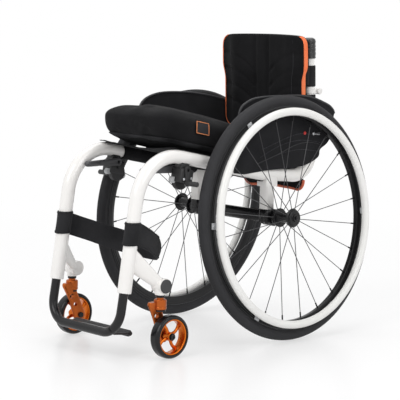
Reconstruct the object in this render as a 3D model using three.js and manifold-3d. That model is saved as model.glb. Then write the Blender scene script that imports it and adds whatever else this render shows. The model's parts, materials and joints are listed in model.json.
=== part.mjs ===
// Rigid frame active wheelchair, millimetres, +Z up, the user faces -Y and the left side is +X.
// The pieces are placed from the rear axle's line: Y = 0 at the axle, Z = 0 on the floor.
// The finished group is moved so that its origin is the centre of the object's footprint.

import * as THREE from "three";
import { mergeVertices } from "three/addons/utils/BufferGeometryUtils.js";
import Module from "manifold-3d";

const wasm = await Module();
wasm.setup();

// Driving dimensions

const clear = { touch: 0.3, run: 0.5, overrun: 2 };

const wheel = {
  radius: 295, tyreHalf: 13, x: 180, camber: THREE.MathUtils.degToRad(5),
  tyreHeight: 25.5, rimDepth: 22, rimHalf: 10, rimNose: 6, rimWallShare: 0.45, segments: 36, tyreSides: 6,
  spokes: 24, spokeHalf: 0.9, nippleHalf: 1.9, nippleLength: 12,
  hubRadius: 14, flangeRadius: 23, flangeHalf: 1.6, innerFlange: 26, outerFlange: 16,
  hubInner: 30, hubOuter: 24, hubBore: 6.5, waistShare: 0.85, capRadius: 19, capLength: 5, capFaceShare: 0.9,
  hubSides: 14,
};
const handrim = { inset: 39.4, tube: 9.5, offset: 27.7, tabs: 6, tabWidth: 16, tabThick: 3, sides: 8 };
const release = {
  pin: 6, collar: 9, collarLength: 3, inset: 30, button: 4, buttonProud: 4, faceShare: 0.8, stroke: 2.5,
};

const side = { x: 121, tube: 16, sides: 12 };
const seat = { frontY: -419, frontZ: 473, kneeY: -40, kneeZ: 398, rearY: 141, rearZ: 382 };
const bend = { front: 110, knee: 300, rear: 58, front_steps: 7, knee_steps: 2, rear_steps: 5 };
const leg = { endY: -468, endZ: 152, bore: 11.6, boreDepth: 62 };
const stub = { topY: 137.6, rise: 80 };

const castor = {
  swivelX: 158, swivelY: -392, wheelX: 172, trail: 18, radius: 50, half: 14, corner: 7, cornerShare: 0.3,
  rimOuter: 41, rimInner: 33, hubRadius: 10, spokes: 5, spokeHalf: 4.5, spokeThick: 10, boreRadius: 4.3,
  crownRadius: 17, crownTop: 137, crownBottom: 113, groove: 1.2, grooveHalf: 1.3,
  stem: 7.5, stemRun: 0.6, stemDepth: 22, neck: 10, neckHeight: 8,
  arm: 9, armGap: 3, bossFrom: THREE.MathUtils.degToRad(198), pin: 4, head: 7, headLength: 4,
  headFaceShare: 0.8, segments: 24, crownSides: 12, boltSides: 10,
};
const housing = {
  radius: 17.5, z: 166, y: -388, inner: 140, outer: 171, lug: 5, wall: 4.5,
  cap: 16, capThick: 4, capWallShare: 0.6, capFaceShare: 0.85,
};
const brace = {
  legZ: 231, legHalfHeight: 27, legHalfWidth: 9.6, endHalfHeight: 15, endHalfWidth: 12,
  stations: 4, sides: 12,
};

const axle = { tube: 15, sleeve: 17.5, sleeveFrom: 137.5, end: 146, meet: 134, boreDepth: 26, segments: 16 };
const stem = {
  y: -14, half: 14, corner: 6, saddleLength: 38, saddleHalf: 15.8, saddleDrop: 26,
  ring: 21, ringHalf: 15, split: 0.6, bolt: 4, boltHead: 3, boltOut: 17,
};

const footrest = { tube: 10.5, barY: -485, barZ: 58, corner: 52, steps: 7, sides: 10, insert: 56 };
const plate = {
  half: 121, rearY: -458, lip: 4, frontReach: 8, round: 4, topZ: 66,
  tongueHalf: 78, tongueY: -408, corner: 22,
};
const strap = {
  height: 52, thick: 2.5, ease: 1.3, legZ: 285, drop: 62, sag: 172, start: 60, leave: 378,
  wrapSteps: 13, sagSteps: 14,
};

const sling = {
  thick: 2.5, frontY: -286, rearY: 70, outerAngle: 40, topAngle: 90, innerAngle: 168,
  arcSteps: 6, topSteps: 3,
};
const cushion = {
  half: 127, frontY: -344, rearY: 56, thick: 97, crown: 9,
  rest: 0.45, waist: 7, squareShare: 0.36, pad: 22, endShare: 0.72, crownShare: 0.5,
  channel: 5, channelHalf: 30, noseLift: 6, noseShare: 0.12, noseSpreadShare: 0.02, around: 24, stations: 16,
};

const guard = { thick: 2.6, lip: 3.4, lipDrop: 7, steps: 5, boss: 8, bossProud: 1.6 };

const lock = {
  y: -298, depth: 44, drop: 44, rise: 7.2, half: 16.4, pin: 4, pinLength: 6, pivotDrop: 12,
  leverReach: 96, leverThick: 4, leverHalf: 7, leverTip: 5.6, grip: 7, gripLength: 30,
  armLength: 30, armThick: 4, shoe: 6, shoeReach: 34, washer: 0.4,
};

const back = {
  x: 118, tube: 13, pivotY: 137, pivotRise: 25, lean: THREE.MathUtils.degToRad(2.8), topDrop: 17,
  capLength: 48, capWall: 2.4, capTop: 5, barShare: 0.467, barBehind: 27, bar: 8.5, barReach: 131,
  clampHalf: 8, clampWall: 2.5, hingePin: 5, hingeThick: 5, hingeDrop: 28.6, sides: 14,
};
const pad = {
  rise: 18, height: 228, halfTop: 140, halfLow: 132, thick: 41, dish: 14, lap: 5.5,
  loopShare: 0.54, loopHalfShare: 0.0965, loopWall: 2.2, loopReach: 9, flareFromShare: 0.5, flareToShare: 0.68,
  crown: 9, crownFromShare: 0.5, edge: 8, endShare: 0.55, squareShare: 0.3,
  channel: 4, channelShare: 0.16, channelSpreadShare: 0.07, stations: 12, around: 20,
};
const flap = {
  topY: 126, topZ: 492, midY: 130, midZ: 430, lowY: 136, lowZ: 352,
  thick: 3, folds: 5, ripple: 3, across: 14, down: 4,
};

// Materials

function material(colour, roughness, metalness) {
  return new THREE.MeshStandardMaterial({ color: colour, roughness, metalness });
}
const white = material(0xefece8, 0.3, 0.1);
const black = material(0x1d1d1f, 0.45, 0.2);
const rubber = material(0x3a3a3d, 0.8, 0);
const glossRubber = material(0x18181a, 0.25, 0);
const fabric = material(0x222224, 0.95, 0);
const webbing = material(0x19191b, 0.9, 0);
const orange = material(0xd0641e, 0.3, 0.8);
const silver = material(0xc4c6c9, 0.3, 0.9);
const darkPlastic = material(0x2b2c2e, 0.5, 0);
const moulded = material(0x19191a, 0.4, 0);

// Solids

const xAxis = new THREE.Vector3(1, 0, 0);
const quarter = Math.PI / 2;
const turn = 2 * Math.PI;

// Shared vertices merged, and the flat triangles at a lathe's poles left out
function bare(geometry) {
  const plain = new THREE.BufferGeometry();
  plain.setAttribute("position", geometry.attributes.position);
  plain.setIndex(geometry.index);
  const merged = mergeVertices(plain, 1e-4);
  const index = merged.index.array;
  const kept = [];
  for (let i = 0; i < index.length; i += 3) {
    const [a, b, c] = [index[i], index[i + 1], index[i + 2]];
    if (a !== b && b !== c && c !== a) kept.push(a, b, c);
  }
  merged.setIndex(kept);
  return merged;
}

function solidOf(geometry) {
  const merged = bare(geometry);
  return new wasm.Manifold(new wasm.Mesh({
    numProp: 3,
    vertProperties: new Float32Array(merged.attributes.position.array),
    triVerts: new Uint32Array(merged.index.array),
  }));
}

function geometryOf(solid) {
  const mesh = solid.getMesh();
  const geometry = new THREE.BufferGeometry();
  geometry.setAttribute("position", new THREE.BufferAttribute(new Float32Array(mesh.vertProperties), 3));
  geometry.setIndex(new THREE.BufferAttribute(new Uint32Array(mesh.triVerts), 1));
  return geometry;
}

function join(pieces, cuts = []) {
  let solid = solidOf(pieces[0]);
  for (const piece of pieces.slice(1)) solid = solid.add(solidOf(piece));
  for (const cut of cuts) solid = solid.subtract(solidOf(cut));
  return geometryOf(solid);
}

function turnFaces(geometry) {
  const index = geometry.index.array;
  for (let i = 0; i < index.length; i += 3) [index[i], index[i + 1]] = [index[i + 1], index[i]];
  return geometry;
}

function handed(geometry, hand) {
  if (hand > 0) return geometry;
  return turnFaces(bare(geometry).scale(-1, 1, 1));
}

function volumeOf(geometry) {
  const { position } = geometry.attributes;
  const at = (i) => new THREE.Vector3().fromBufferAttribute(position, geometry.index.array[i]);
  let volume = 0;
  for (let i = 0; i < geometry.index.count; i += 3) volume += at(i).dot(at(i + 1).cross(at(i + 2))) / 6;
  return volume;
}

// A profile of places along X and radii, closed on itself or on the axis, in either direction
function revolveX(points, segments) {
  const profile = points.map(([along, radius]) => new THREE.Vector2(radius, along));
  if (THREE.ShapeUtils.area(profile) < 0) profile.reverse();
  const lathe = new THREE.LatheGeometry(profile, segments);
  return lathe.rotateZ(-quarter);
}

function ringSection(centre, halfAlong, halfRadial, sides) {
  const points = [];
  for (let i = 0; i <= sides; i += 1) {
    const angle = turn * (i % sides) / sides;
    points.push([-halfAlong * Math.sin(angle), centre + halfRadial * Math.cos(angle)]);
  }
  return points;
}

function rod(radius, length, segments, x, y, z, axis = "x") {
  const cylinder = new THREE.CylinderGeometry(radius, radius, length, segments);
  if (axis === "x") cylinder.rotateZ(-quarter);
  if (axis === "z") cylinder.rotateX(quarter);
  return cylinder.translate(x, y, z);
}

function block(width, depth, height, x, y, z) {
  return new THREE.BoxGeometry(width, depth, height).translate(x, y, z);
}

// An outline in Y and Z, drawn out along X from the inner face
function plateYZ(outline, thick, innerX, bevel = 0) {
  const shape = outline instanceof THREE.Shape ? outline : new THREE.Shape(outline);
  const options = {
    depth: thick - 2 * bevel, curveSegments: 5, bevelEnabled: bevel > 0,
    bevelSize: bevel, bevelThickness: bevel, bevelOffset: -bevel, bevelSegments: 1,
  };
  const geometry = new THREE.ExtrudeGeometry(shape, options);
  const place = new THREE.Matrix4().makeBasis(
    new THREE.Vector3(0, 1, 0), new THREE.Vector3(0, 0, 1), new THREE.Vector3(1, 0, 0));
  return geometry.applyMatrix4(place).translate(innerX + bevel, 0, 0);
}

// A line of straight runs joined by arcs, sampled only where it turns
class BentPath extends THREE.Curve {
  constructor(corners, radii, steps) {
    super();
    this.stations = [];
    this.tangents = [];
    const last = corners.length - 1;
    this.add(corners[0], corners[1].clone().sub(corners[0]).normalize());
    for (let i = 1; i < last; i += 1) {
      this.bend(corners[i - 1], corners[i], corners[i + 1], radii[i - 1], steps[i - 1]);
    }
    this.add(corners[last], corners[last].clone().sub(corners[last - 1]).normalize());
  }
  add(point, tangent) {
    this.stations.push(point.clone());
    this.tangents.push(tangent.clone());
  }
  bend(before, corner, after, radius, steps) {
    const inward = corner.clone().sub(before).normalize();
    const outward = after.clone().sub(corner).normalize();
    const angle = inward.angleTo(outward);
    const start = corner.clone().addScaledVector(inward, -radius * Math.tan(angle / 2));
    const spin = inward.clone().cross(outward).normalize();
    const spoke = spin.clone().cross(inward).normalize();
    const centre = start.clone().addScaledVector(spoke, radius);
    for (let i = 0; i <= steps; i += 1) {
      const turned = angle * i / steps;
      const point = start.clone().sub(centre).applyAxisAngle(spin, turned).add(centre);
      this.add(point, inward.clone().applyAxisAngle(spin, turned));
    }
  }
  place(list, share) {
    const reach = share * (list.length - 1);
    const low = Math.min(Math.floor(reach + 1e-9), list.length - 1);
    const high = Math.min(low + 1, list.length - 1);
    return list[low].clone().lerp(list[high], reach - low);
  }
  getPoint(share) {
    return this.place(this.stations, share);
  }
  getPointAt(share) {
    return this.place(this.stations, share);
  }
  getTangentAt(share) {
    return this.place(this.tangents, share).normalize();
  }
  get steps() {
    return this.stations.length - 1;
  }
}

function circleShape(radius, sides) {
  const points = [];
  for (let i = 0; i < sides; i += 1) {
    const angle = turn * (i + 0.5) / sides;
    points.push(new THREE.Vector2(radius * Math.cos(angle), radius * Math.sin(angle)));
  }
  return new THREE.Shape(points);
}

function sweep(shape, path) {
  return new THREE.ExtrudeGeometry(shape, { steps: path.steps, extrudePath: path, curveSegments: 6 });
}

// A closed skin through rings of equal counts, with a fan on each end
function loft(rings) {
  const count = rings[0].length;
  const positions = [];
  for (const ring of rings) for (const point of ring) positions.push(point.x, point.y, point.z);
  const index = [];
  for (let r = 0; r < rings.length - 1; r += 1) {
    for (let i = 0; i < count; i += 1) {
      const a = r * count + i;
      const b = r * count + (i + 1) % count;
      index.push(a, b, a + count, b, b + count, a + count);
    }
  }
  const ends = [[0, rings[0]], [(rings.length - 1) * count, rings[rings.length - 1]]];
  ends.forEach(([base, ring], end) => {
    const middle = ring.reduce((sum, point) => sum.add(point), new THREE.Vector3()).divideScalar(count);
    positions.push(middle.x, middle.y, middle.z);
    const hub = rings.length * count + end;
    for (let i = 0; i < count; i += 1) {
      const a = base + i;
      const b = base + (i + 1) % count;
      if (end === 0) index.push(hub, b, a);
      else index.push(hub, a, b);
    }
  });
  const geometry = new THREE.BufferGeometry();
  geometry.setAttribute("position", new THREE.Float32BufferAttribute(positions, 3));
  geometry.setIndex(index);
  return volumeOf(geometry) < 0 ? turnFaces(geometry) : geometry;
}

const chair = new THREE.Group();

function addPiece(name, geometry, look, parent = chair) {
  const mesh = new THREE.Mesh(bare(geometry), look);
  mesh.name = name;
  parent.add(mesh);
  return mesh;
}

const hands = [["left", 1], ["right", -1]];

// Side frame: one bent tube from the foot end over the knee to the back's stub, with the castor's arm

const wheelHeight = (wheel.radius - wheel.tyreHalf) * Math.cos(wheel.camber) + wheel.tyreHalf;

const stubTopZ = seat.rearZ + stub.rise;

function framePath(x) {
  const corners = [
    new THREE.Vector3(x, leg.endY, leg.endZ),
    new THREE.Vector3(x, seat.frontY, seat.frontZ),
    new THREE.Vector3(x, seat.kneeY, seat.kneeZ),
    new THREE.Vector3(x, seat.rearY, seat.rearZ),
    new THREE.Vector3(x, stub.topY, stubTopZ),
  ];
  return new BentPath(corners, [bend.front, bend.knee, bend.rear],
    [bend.front_steps, bend.knee_steps, bend.rear_steps]);
}

const legLine = new THREE.Vector3(0, seat.frontY - leg.endY, seat.frontZ - leg.endZ).normalize();
const seatSlope = (seat.kneeZ - seat.frontZ) / (seat.kneeY - seat.frontY);

function legPoint(x, z) {
  return new THREE.Vector3(x, leg.endY + (z - leg.endZ) * legLine.y / legLine.z, z);
}

function seatTubeZ(y) {
  return seat.kneeZ + seatSlope * (y - seat.kneeY);
}

function alongLeg(radius, length, middle, segments) {
  const cylinder = new THREE.CylinderGeometry(radius, radius, length, segments);
  const tilt = new THREE.Quaternion().setFromUnitVectors(new THREE.Vector3(0, 1, 0), legLine);
  return cylinder.applyQuaternion(tilt).translate(middle.x, middle.y, middle.z);
}

function braceSkin() {
  const from = legPoint(side.x, brace.legZ);
  const to = new THREE.Vector3((housing.inner + housing.outer) / 2, housing.y, housing.z);
  const rings = [];
  for (let s = 0; s <= brace.stations; s += 1) {
    const share = s / brace.stations;
    const eased = share * share * (3 - 2 * share);
    const centre = from.clone().lerp(to, share);
    const tall = THREE.MathUtils.lerp(brace.legHalfHeight, brace.endHalfHeight, eased);
    const wide = THREE.MathUtils.lerp(brace.legHalfWidth, brace.endHalfWidth, eased);
    const ring = [];
    for (let i = 0; i < brace.sides; i += 1) {
      const angle = turn * i / brace.sides;
      const out = new THREE.Vector3(wide * Math.cos(angle), 0, tall * Math.sin(angle));
      ring.push(out.add(centre));
    }
    rings.push(ring);
  }
  return loft(rings);
}

function sideFrame() {
  const tube = sweep(circleShape(side.tube, side.sides), framePath(side.x));
  const barrelLength = housing.outer - housing.inner;
  const barrelX = housing.inner + barrelLength / 2;
  const barrel = rod(housing.radius, barrelLength, 18, barrelX, housing.y, housing.z);
  const bottom = housing.z - housing.radius;
  const socketTop = bottom + castor.stemDepth;
  const socketLow = bottom - housing.lug / 2;
  const boss = rod(castor.stem + castor.stemRun + housing.wall, socketTop - socketLow - housing.lug, 14,
    castor.swivelX, castor.swivelY, (socketTop + socketLow) / 2, "z");
  const boreLength = castor.stemDepth + housing.lug;
  const bore = rod(castor.stem + castor.stemRun, boreLength, 14, castor.swivelX, castor.swivelY,
    socketLow - clear.overrun + boreLength / 2, "z");
  const socket = alongLeg(leg.bore, leg.boreDepth * 2, legPoint(side.x, leg.endZ), 12);
  return join([tube, braceSkin(), barrel, boss], [bore, socket]);
}

function castorCap() {
  const start = housing.outer + clear.touch;
  const points = [[start, 0], [start, housing.cap],
    [start + housing.capThick * housing.capWallShare, housing.cap],
    [start + housing.capThick, housing.cap * housing.capFaceShare], [start + housing.capThick, 0]];
  return revolveX(points, 18).translate(0, housing.y, housing.z);
}

for (const [name, hand] of hands) {
  addPiece(`side_frame_${name}`, handed(sideFrame(), hand), white);
  addPiece(`castor_cap_${name}`, handed(castorCap(), hand), darkPlastic);
}

// Axle: a cross tube under the seat, clamped by a stem on each side. The cambered wheel axes meet its
// own line inside its ends, so it lies a little lower than the wheels' centres

const axleHeight = wheelHeight - (wheel.x - axle.meet) * Math.tan(wheel.camber);

// The bore just takes the release pin, which crosses it at the camber angle
const axleBore = (release.pin + (axle.end - axle.meet) * Math.tan(wheel.camber) + clear.touch)
  / Math.cos(Math.PI / axle.segments);

function axleTube() {
  const half = [[axle.sleeveFrom, axle.tube], [axle.sleeveFrom + clear.overrun, axle.sleeve],
    [axle.end, axle.sleeve], [axle.end, axleBore], [axle.end - axle.boreDepth, axleBore],
    [axle.end - axle.boreDepth, 0]];
  const mirrored = half.map(([along, radius]) => [-along, radius]).reverse();
  return revolveX([...mirrored, ...half], axle.segments).translate(0, 0, axleHeight);
}
addPiece("axle_tube", axleTube(), black);

function axleStem() {
  const top = seatTubeZ(stem.y);
  const outline = new THREE.Shape();
  const edge = stem.half - stem.corner;
  outline.absarc(edge, edge, stem.corner, 0, quarter);
  outline.absarc(-edge, edge, stem.corner, quarter, 2 * quarter);
  outline.absarc(-edge, -edge, stem.corner, 2 * quarter, 3 * quarter);
  outline.absarc(edge, -edge, stem.corner, 3 * quarter, 4 * quarter);
  const drawn = { depth: top - axleHeight, bevelEnabled: false, curveSegments: 3 };
  const column = new THREE.ExtrudeGeometry(outline, drawn).translate(side.x, stem.y, axleHeight);
  const saddle = block(2 * stem.saddleHalf, stem.saddleLength, stem.saddleDrop, side.x, stem.y,
    top - stem.saddleDrop / 2);
  const ring = rod(stem.ring, 2 * stem.ringHalf, 18, side.x, 0, axleHeight);
  const ears = block(2 * stem.ringHalf, 2 * (stem.boltOut + stem.bolt * 2), stem.ring / 2, side.x, 0,
    axleHeight + stem.ring / 4 + stem.split / 2);
  const tubeCut = sweep(circleShape(side.tube + clear.touch * 2, side.sides), framePath(side.x));
  const above = block(2 * stem.saddleHalf + clear.overrun, stem.saddleLength + clear.overrun, side.tube * 2,
    side.x, stem.y, top + side.tube);
  const belowAxle = block(4 * stem.ringHalf, 4 * stem.ring, 2 * stem.ring, side.x, 0,
    axleHeight - stem.ring + stem.split);
  const axleCut = rod(axle.tube + clear.touch, 6 * stem.ringHalf, axle.segments, side.x, 0, axleHeight);
  return join([column, saddle, ring, ears], [tubeCut, above, belowAxle, axleCut]);
}

function axleClamp() {
  const ring = rod(stem.ring, 2 * stem.ringHalf, 18, side.x, 0, axleHeight);
  const ears = block(2 * stem.ringHalf, 2 * (stem.boltOut + stem.bolt * 2), stem.ring / 2, side.x, 0,
    axleHeight - stem.ring / 4 - stem.split / 2);
  const aboveAxle = block(4 * stem.ringHalf, 4 * stem.ring, 2 * stem.ring, side.x, 0,
    axleHeight + stem.ring - stem.split / 2);
  const axleCut = rod(axle.tube + clear.touch, 6 * stem.ringHalf, axle.segments, side.x, 0, axleHeight);
  const heads = [];
  for (const y of [-1, 1]) {
    for (const x of [-1, 1]) {
      const length = stem.ring / 2 + stem.boltHead;
      heads.push(rod(stem.bolt, length, 8, side.x + x * stem.ringHalf / 2, y * (stem.boltOut + stem.bolt),
        axleHeight - stem.split - length / 2, "z"));
    }
  }
  return join([ring, ears, ...heads], [aboveAxle, axleCut]);
}

for (const [name, hand] of hands) {
  addPiece(`axle_stem_${name}`, handed(axleStem(), hand), white);
  addPiece(`axle_clamp_${name}`, handed(axleClamp(), hand), black);
}

// Rear wheels, each in its own cambered group with the axle along +X, outwards

const bead = wheel.radius - wheel.tyreHeight;
const handrimRadius = wheel.radius - handrim.inset;

function tyre() {
  const centre = wheel.radius - wheel.tyreHalf;
  const floor = bead + clear.touch;
  const beadHalf = wheel.rimHalf - clear.run;
  const open = Math.asin(beadHalf / wheel.tyreHalf);
  const points = [[beadHalf, floor]];
  for (let i = 0; i <= wheel.tyreSides; i += 1) {
    const angle = open + (turn - 2 * open) * i / wheel.tyreSides;
    points.push([wheel.tyreHalf * Math.sin(angle), centre - wheel.tyreHalf * Math.cos(angle)]);
  }
  points.push([-beadHalf, floor], [beadHalf, floor]);
  return revolveX(points, wheel.segments);
}

function rim() {
  const inner = bead - wheel.rimDepth;
  const wall = bead - wheel.rimDepth * wheel.rimWallShare;
  const points = [[-wheel.rimHalf, bead], [-wheel.rimHalf, wall], [-wheel.rimNose, inner],
    [wheel.rimNose, inner], [wheel.rimHalf, wall], [wheel.rimHalf, bead], [-wheel.rimHalf, bead]];
  return revolveX(points, wheel.segments);
}

function spoke(index) {
  const outer = index % 2 === 0;
  const flangeX = outer ? wheel.outerFlange : -wheel.innerFlange;
  const foot = new THREE.Vector3(flangeX, wheel.flangeRadius - wheel.flangeHalf * 2, 0);
  const inner = bead - wheel.rimDepth;
  const tip = new THREE.Vector3(0, inner * Math.cos(Math.PI / wheel.segments) - clear.touch, 0);
  const along = tip.clone().sub(foot);
  const reach = along.length();
  const knee = foot.clone().addScaledVector(along, 1 - wheel.nippleLength / reach);
  const across = xAxis.clone().addScaledVector(along, -xAxis.dot(along) / along.lengthSq()).normalize();
  const beside = along.clone().cross(across).normalize();
  const sections = [[foot, wheel.spokeHalf], [knee, wheel.spokeHalf], [tip, wheel.nippleHalf]];
  const rings = sections.map(([centre, half]) => [0, 1, 2, 3].map((corner) => {
    const angle = quarter * (corner + 0.5);
    return centre.clone().addScaledVector(across, half * Math.SQRT2 * Math.cos(angle))
      .addScaledVector(beside, -half * Math.SQRT2 * Math.sin(angle));
  }));
  return loft(rings).rotateX(turn * (index + 0.5) / wheel.spokes);
}

function hub() {
  const { hubInner, hubOuter, hubRadius, flangeRadius, flangeHalf, innerFlange, outerFlange } = wheel;
  const waist = hubRadius * wheel.waistShare;
  const points = [[-hubInner, wheel.hubBore], [-hubInner, hubRadius], [-innerFlange - flangeHalf, hubRadius],
    [-innerFlange - flangeHalf, flangeRadius], [-innerFlange + flangeHalf, flangeRadius],
    [-innerFlange + flangeHalf, hubRadius], [-flangeHalf * 2, waist], [outerFlange - flangeHalf, hubRadius],
    [outerFlange - flangeHalf, flangeRadius], [outerFlange + flangeHalf, flangeRadius],
    [hubOuter - wheel.capLength, wheel.capRadius], [hubOuter, wheel.capRadius * wheel.capFaceShare],
    [hubOuter, wheel.hubBore], [-hubInner, wheel.hubBore]];
  return revolveX(points, wheel.hubSides);
}

function spokedHub() {
  const spokes = Array.from({ length: wheel.spokes }, (_, index) => spoke(index));
  return join([hub(), ...spokes]);
}

function handrimRing() {
  const ring = revolveX(ringSection(handrimRadius, handrim.tube, handrim.tube, handrim.sides), wheel.segments)
    .translate(handrim.offset, 0, 0);
  const tabs = [];
  const root = wheel.rimHalf + clear.touch;
  const reach = handrim.offset - root;
  for (let i = 0; i < handrim.tabs; i += 1) {
    const tab = block(reach, handrim.tabWidth, handrim.tabThick, root + reach / 2, 0,
      handrimRadius + handrim.tabThick / 2);
    tabs.push(tab.rotateX(turn * (i + 0.5) / handrim.tabs));
  }
  return join([ring, ...tabs]);
}

const pinInner = -wheel.hubInner - release.inset + wheel.capLength;

function quickRelease() {
  const collarStart = wheel.hubOuter + clear.touch;
  const points = [[pinInner, 0], [pinInner, release.pin], [collarStart, release.pin],
    [collarStart, release.collar], [collarStart + release.collarLength, release.collar],
    [collarStart + release.collarLength, release.button + clear.run],
    [collarStart - release.stroke * 2, release.button + clear.run], [collarStart - release.stroke * 2, 0]];
  return revolveX(points, 12);
}

function releaseButton() {
  const collarStart = wheel.hubOuter + clear.touch;
  const low = collarStart - release.stroke * 2 + release.stroke + clear.touch;
  const high = collarStart + release.collarLength + release.buttonProud;
  const points = [[low, 0], [low, release.button], [high - clear.run, release.button],
    [high, release.button * release.faceShare], [high, 0]];
  return revolveX(points, 8);
}

for (const [name, hand] of hands) {
  const group = new THREE.Group();
  group.position.set(hand * wheel.x, 0, wheelHeight);
  group.rotation.order = "YZX";
  group.rotation.set(0, -hand * wheel.camber, hand > 0 ? 0 : Math.PI);
  chair.add(group);
  addPiece(`tyre_${name}`, tyre(), rubber, group);
  addPiece(`rim_${name}`, rim(), black, group);
  addPiece(`spoked_hub_${name}`, spokedHub(), black, group);
  addPiece(`handrim_${name}`, handrimRing(), white, group);
  addPiece(`quick_release_${name}`, quickRelease(), black, group);
  addPiece(`release_button_${name}`, releaseButton(), silver, group);
}

// Castors: a one-sided fork on the inner side of each wheel

const castorY = castor.swivelY + castor.trail;
const castorZ = castor.radius;
const armOuter = castor.wheelX - castor.half - castor.armGap;
const armInner = armOuter - castor.arm;

// The arm's outline as shares of the castor's radius, measured from the swivel line and the floor
const armShares = {
  topFront: [-0.34, 2.7], shoulder: [-0.78, 2.35], bulge: [-0.82, 2.1], waist: [-0.5, 1.6], heel: [0, 0.86],
  rearLow: [0.86, 1.16], rear: [0.82, 1.75], topRear: [0.36, 2.28],
};
const armHoleShares = [[-0.3, 2.12, 0.075], [0.16, 1.76, 0.12], [-0.04, 1.4, 0.07]];
const crownGrooveShares = [0.35, 0.65];

function armOutline() {
  const at = (share) => [castor.swivelY + share[0] * castor.radius, share[1] * castor.radius];
  const s = armShares;
  const shape = new THREE.Shape();
  shape.moveTo(...at(s.topFront));
  shape.quadraticCurveTo(...at(s.shoulder), ...at(s.bulge));
  shape.quadraticCurveTo(...at(s.waist), ...at(s.heel));
  const boss = castor.hubRadius + castor.armGap;
  shape.absarc(castorY, castorZ, boss, castor.bossFrom, turn, false);
  shape.quadraticCurveTo(...at(s.rearLow), ...at(s.rear));
  shape.lineTo(...at(s.topRear));
  for (const [y, z, r] of armHoleShares) {
    const hole = new THREE.Path();
    hole.absarc(castor.swivelY + y * castor.radius, z * castor.radius, r * castor.radius, 0, turn, true);
    shape.holes.push(hole);
  }
  return shape;
}

function castorFork() {
  const arm = plateYZ(armOutline(), castor.arm, armInner);
  const high = castor.crownTop;
  const low = castor.crownBottom;
  const { crownRadius: r, groove, grooveHalf } = castor;
  const lines = [];
  for (const share of crownGrooveShares) {
    const z = THREE.MathUtils.lerp(low, high, share);
    lines.push([z - grooveHalf, r], [z, r - groove], [z + grooveHalf, r]);
  }
  const stemTop = housing.z - housing.radius + castor.stemDepth - clear.overrun * 2;
  const neckTop = high + castor.neckHeight;
  const points = [[low, 0], [low, r - groove], [low + groove, r], ...lines, [high - groove, r],
    [high, r - groove], [high, castor.neck], [neckTop, castor.neck], [neckTop, castor.stem],
    [stemTop, castor.stem], [stemTop, 0]];
  const profile = points.map(([along, radius]) => new THREE.Vector2(radius, along));
  const crown = new THREE.LatheGeometry(profile, castor.crownSides).rotateX(quarter);
  crown.translate(castor.swivelX, castor.swivelY, 0);
  const bore = rod(castor.boreRadius, castor.arm * 3, castor.boltSides, armInner, castorY, castorZ);
  return join([arm, crown], [bore]);
}

function castorHub() {
  const wide = castor.half - clear.overrun;
  const { rimInner, rimOuter } = castor;
  const ring = revolveX([[-wide, rimOuter], [-wide, rimInner], [0, rimInner - clear.overrun],
    [wide, rimInner], [wide, rimOuter], [-wide, rimOuter]], castor.segments);
  const boss = rod(castor.hubRadius, 2 * wide, 15, 0, 0, 0);
  const arms = [];
  for (let i = 0; i < castor.spokes; i += 1) {
    const arm = block(castor.spokeThick, castor.spokeHalf * 2, rimInner, 0, 0, rimInner / 2 + clear.overrun);
    arms.push(arm.rotateX(turn * i / castor.spokes));
  }
  const bore = rod(castor.boreRadius, 4 * wide, castor.boltSides, 0, 0, 0);
  return join([ring, boss, ...arms], [bore]);
}

function castorTyre() {
  const { radius: r, half, corner } = castor;
  const inner = castor.rimOuter + clear.touch;
  const cut = corner * castor.cornerShare;
  const points = [[-half, inner], [-half, r - corner], [-half + cut, r - cut], [-half + corner, r],
    [half - corner, r], [half - cut, r - cut], [half, r - corner], [half, inner], [-half, inner]];
  return revolveX(points, castor.segments);
}

function castorAxle() {
  const start = armInner - castor.headLength;
  const end = castor.wheelX + castor.half - clear.overrun + clear.touch;
  const points = [[start, 0], [start, castor.head], [armInner - clear.touch, castor.head],
    [armInner - clear.touch, castor.pin], [end, castor.pin], [end, castor.head],
    [end + castor.headLength, castor.head * castor.headFaceShare], [end + castor.headLength, 0]];
  return revolveX(points, castor.boltSides).translate(0, castorY, castorZ);
}

for (const [name, hand] of hands) {
  addPiece(`castor_fork_${name}`, handed(castorFork(), hand), orange);
  addPiece(`castor_axle_${name}`, handed(castorAxle(), hand), silver);
  const group = new THREE.Group();
  group.position.set(hand * castor.wheelX, castorY, castorZ);
  chair.add(group);
  addPiece(`castor_hub_${name}`, castorHub(), orange, group);
  addPiece(`castor_tyre_${name}`, castorTyre(), glossRubber, group);
}

// Footrest: a U of tube that slides in the legs, with a plate behind and under its bar

function footrestTube() {
  const high = legPoint(side.x, leg.endZ + footrest.insert * legLine.z);
  const corners = [
    high,
    new THREE.Vector3(side.x, footrest.barY, footrest.barZ),
    new THREE.Vector3(-side.x, footrest.barY, footrest.barZ),
    new THREE.Vector3(-side.x, high.y, high.z),
  ];
  const path = new BentPath(corners, [footrest.corner, footrest.corner], [footrest.steps, footrest.steps]);
  return sweep(circleShape(footrest.tube, footrest.sides), path);
}

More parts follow.
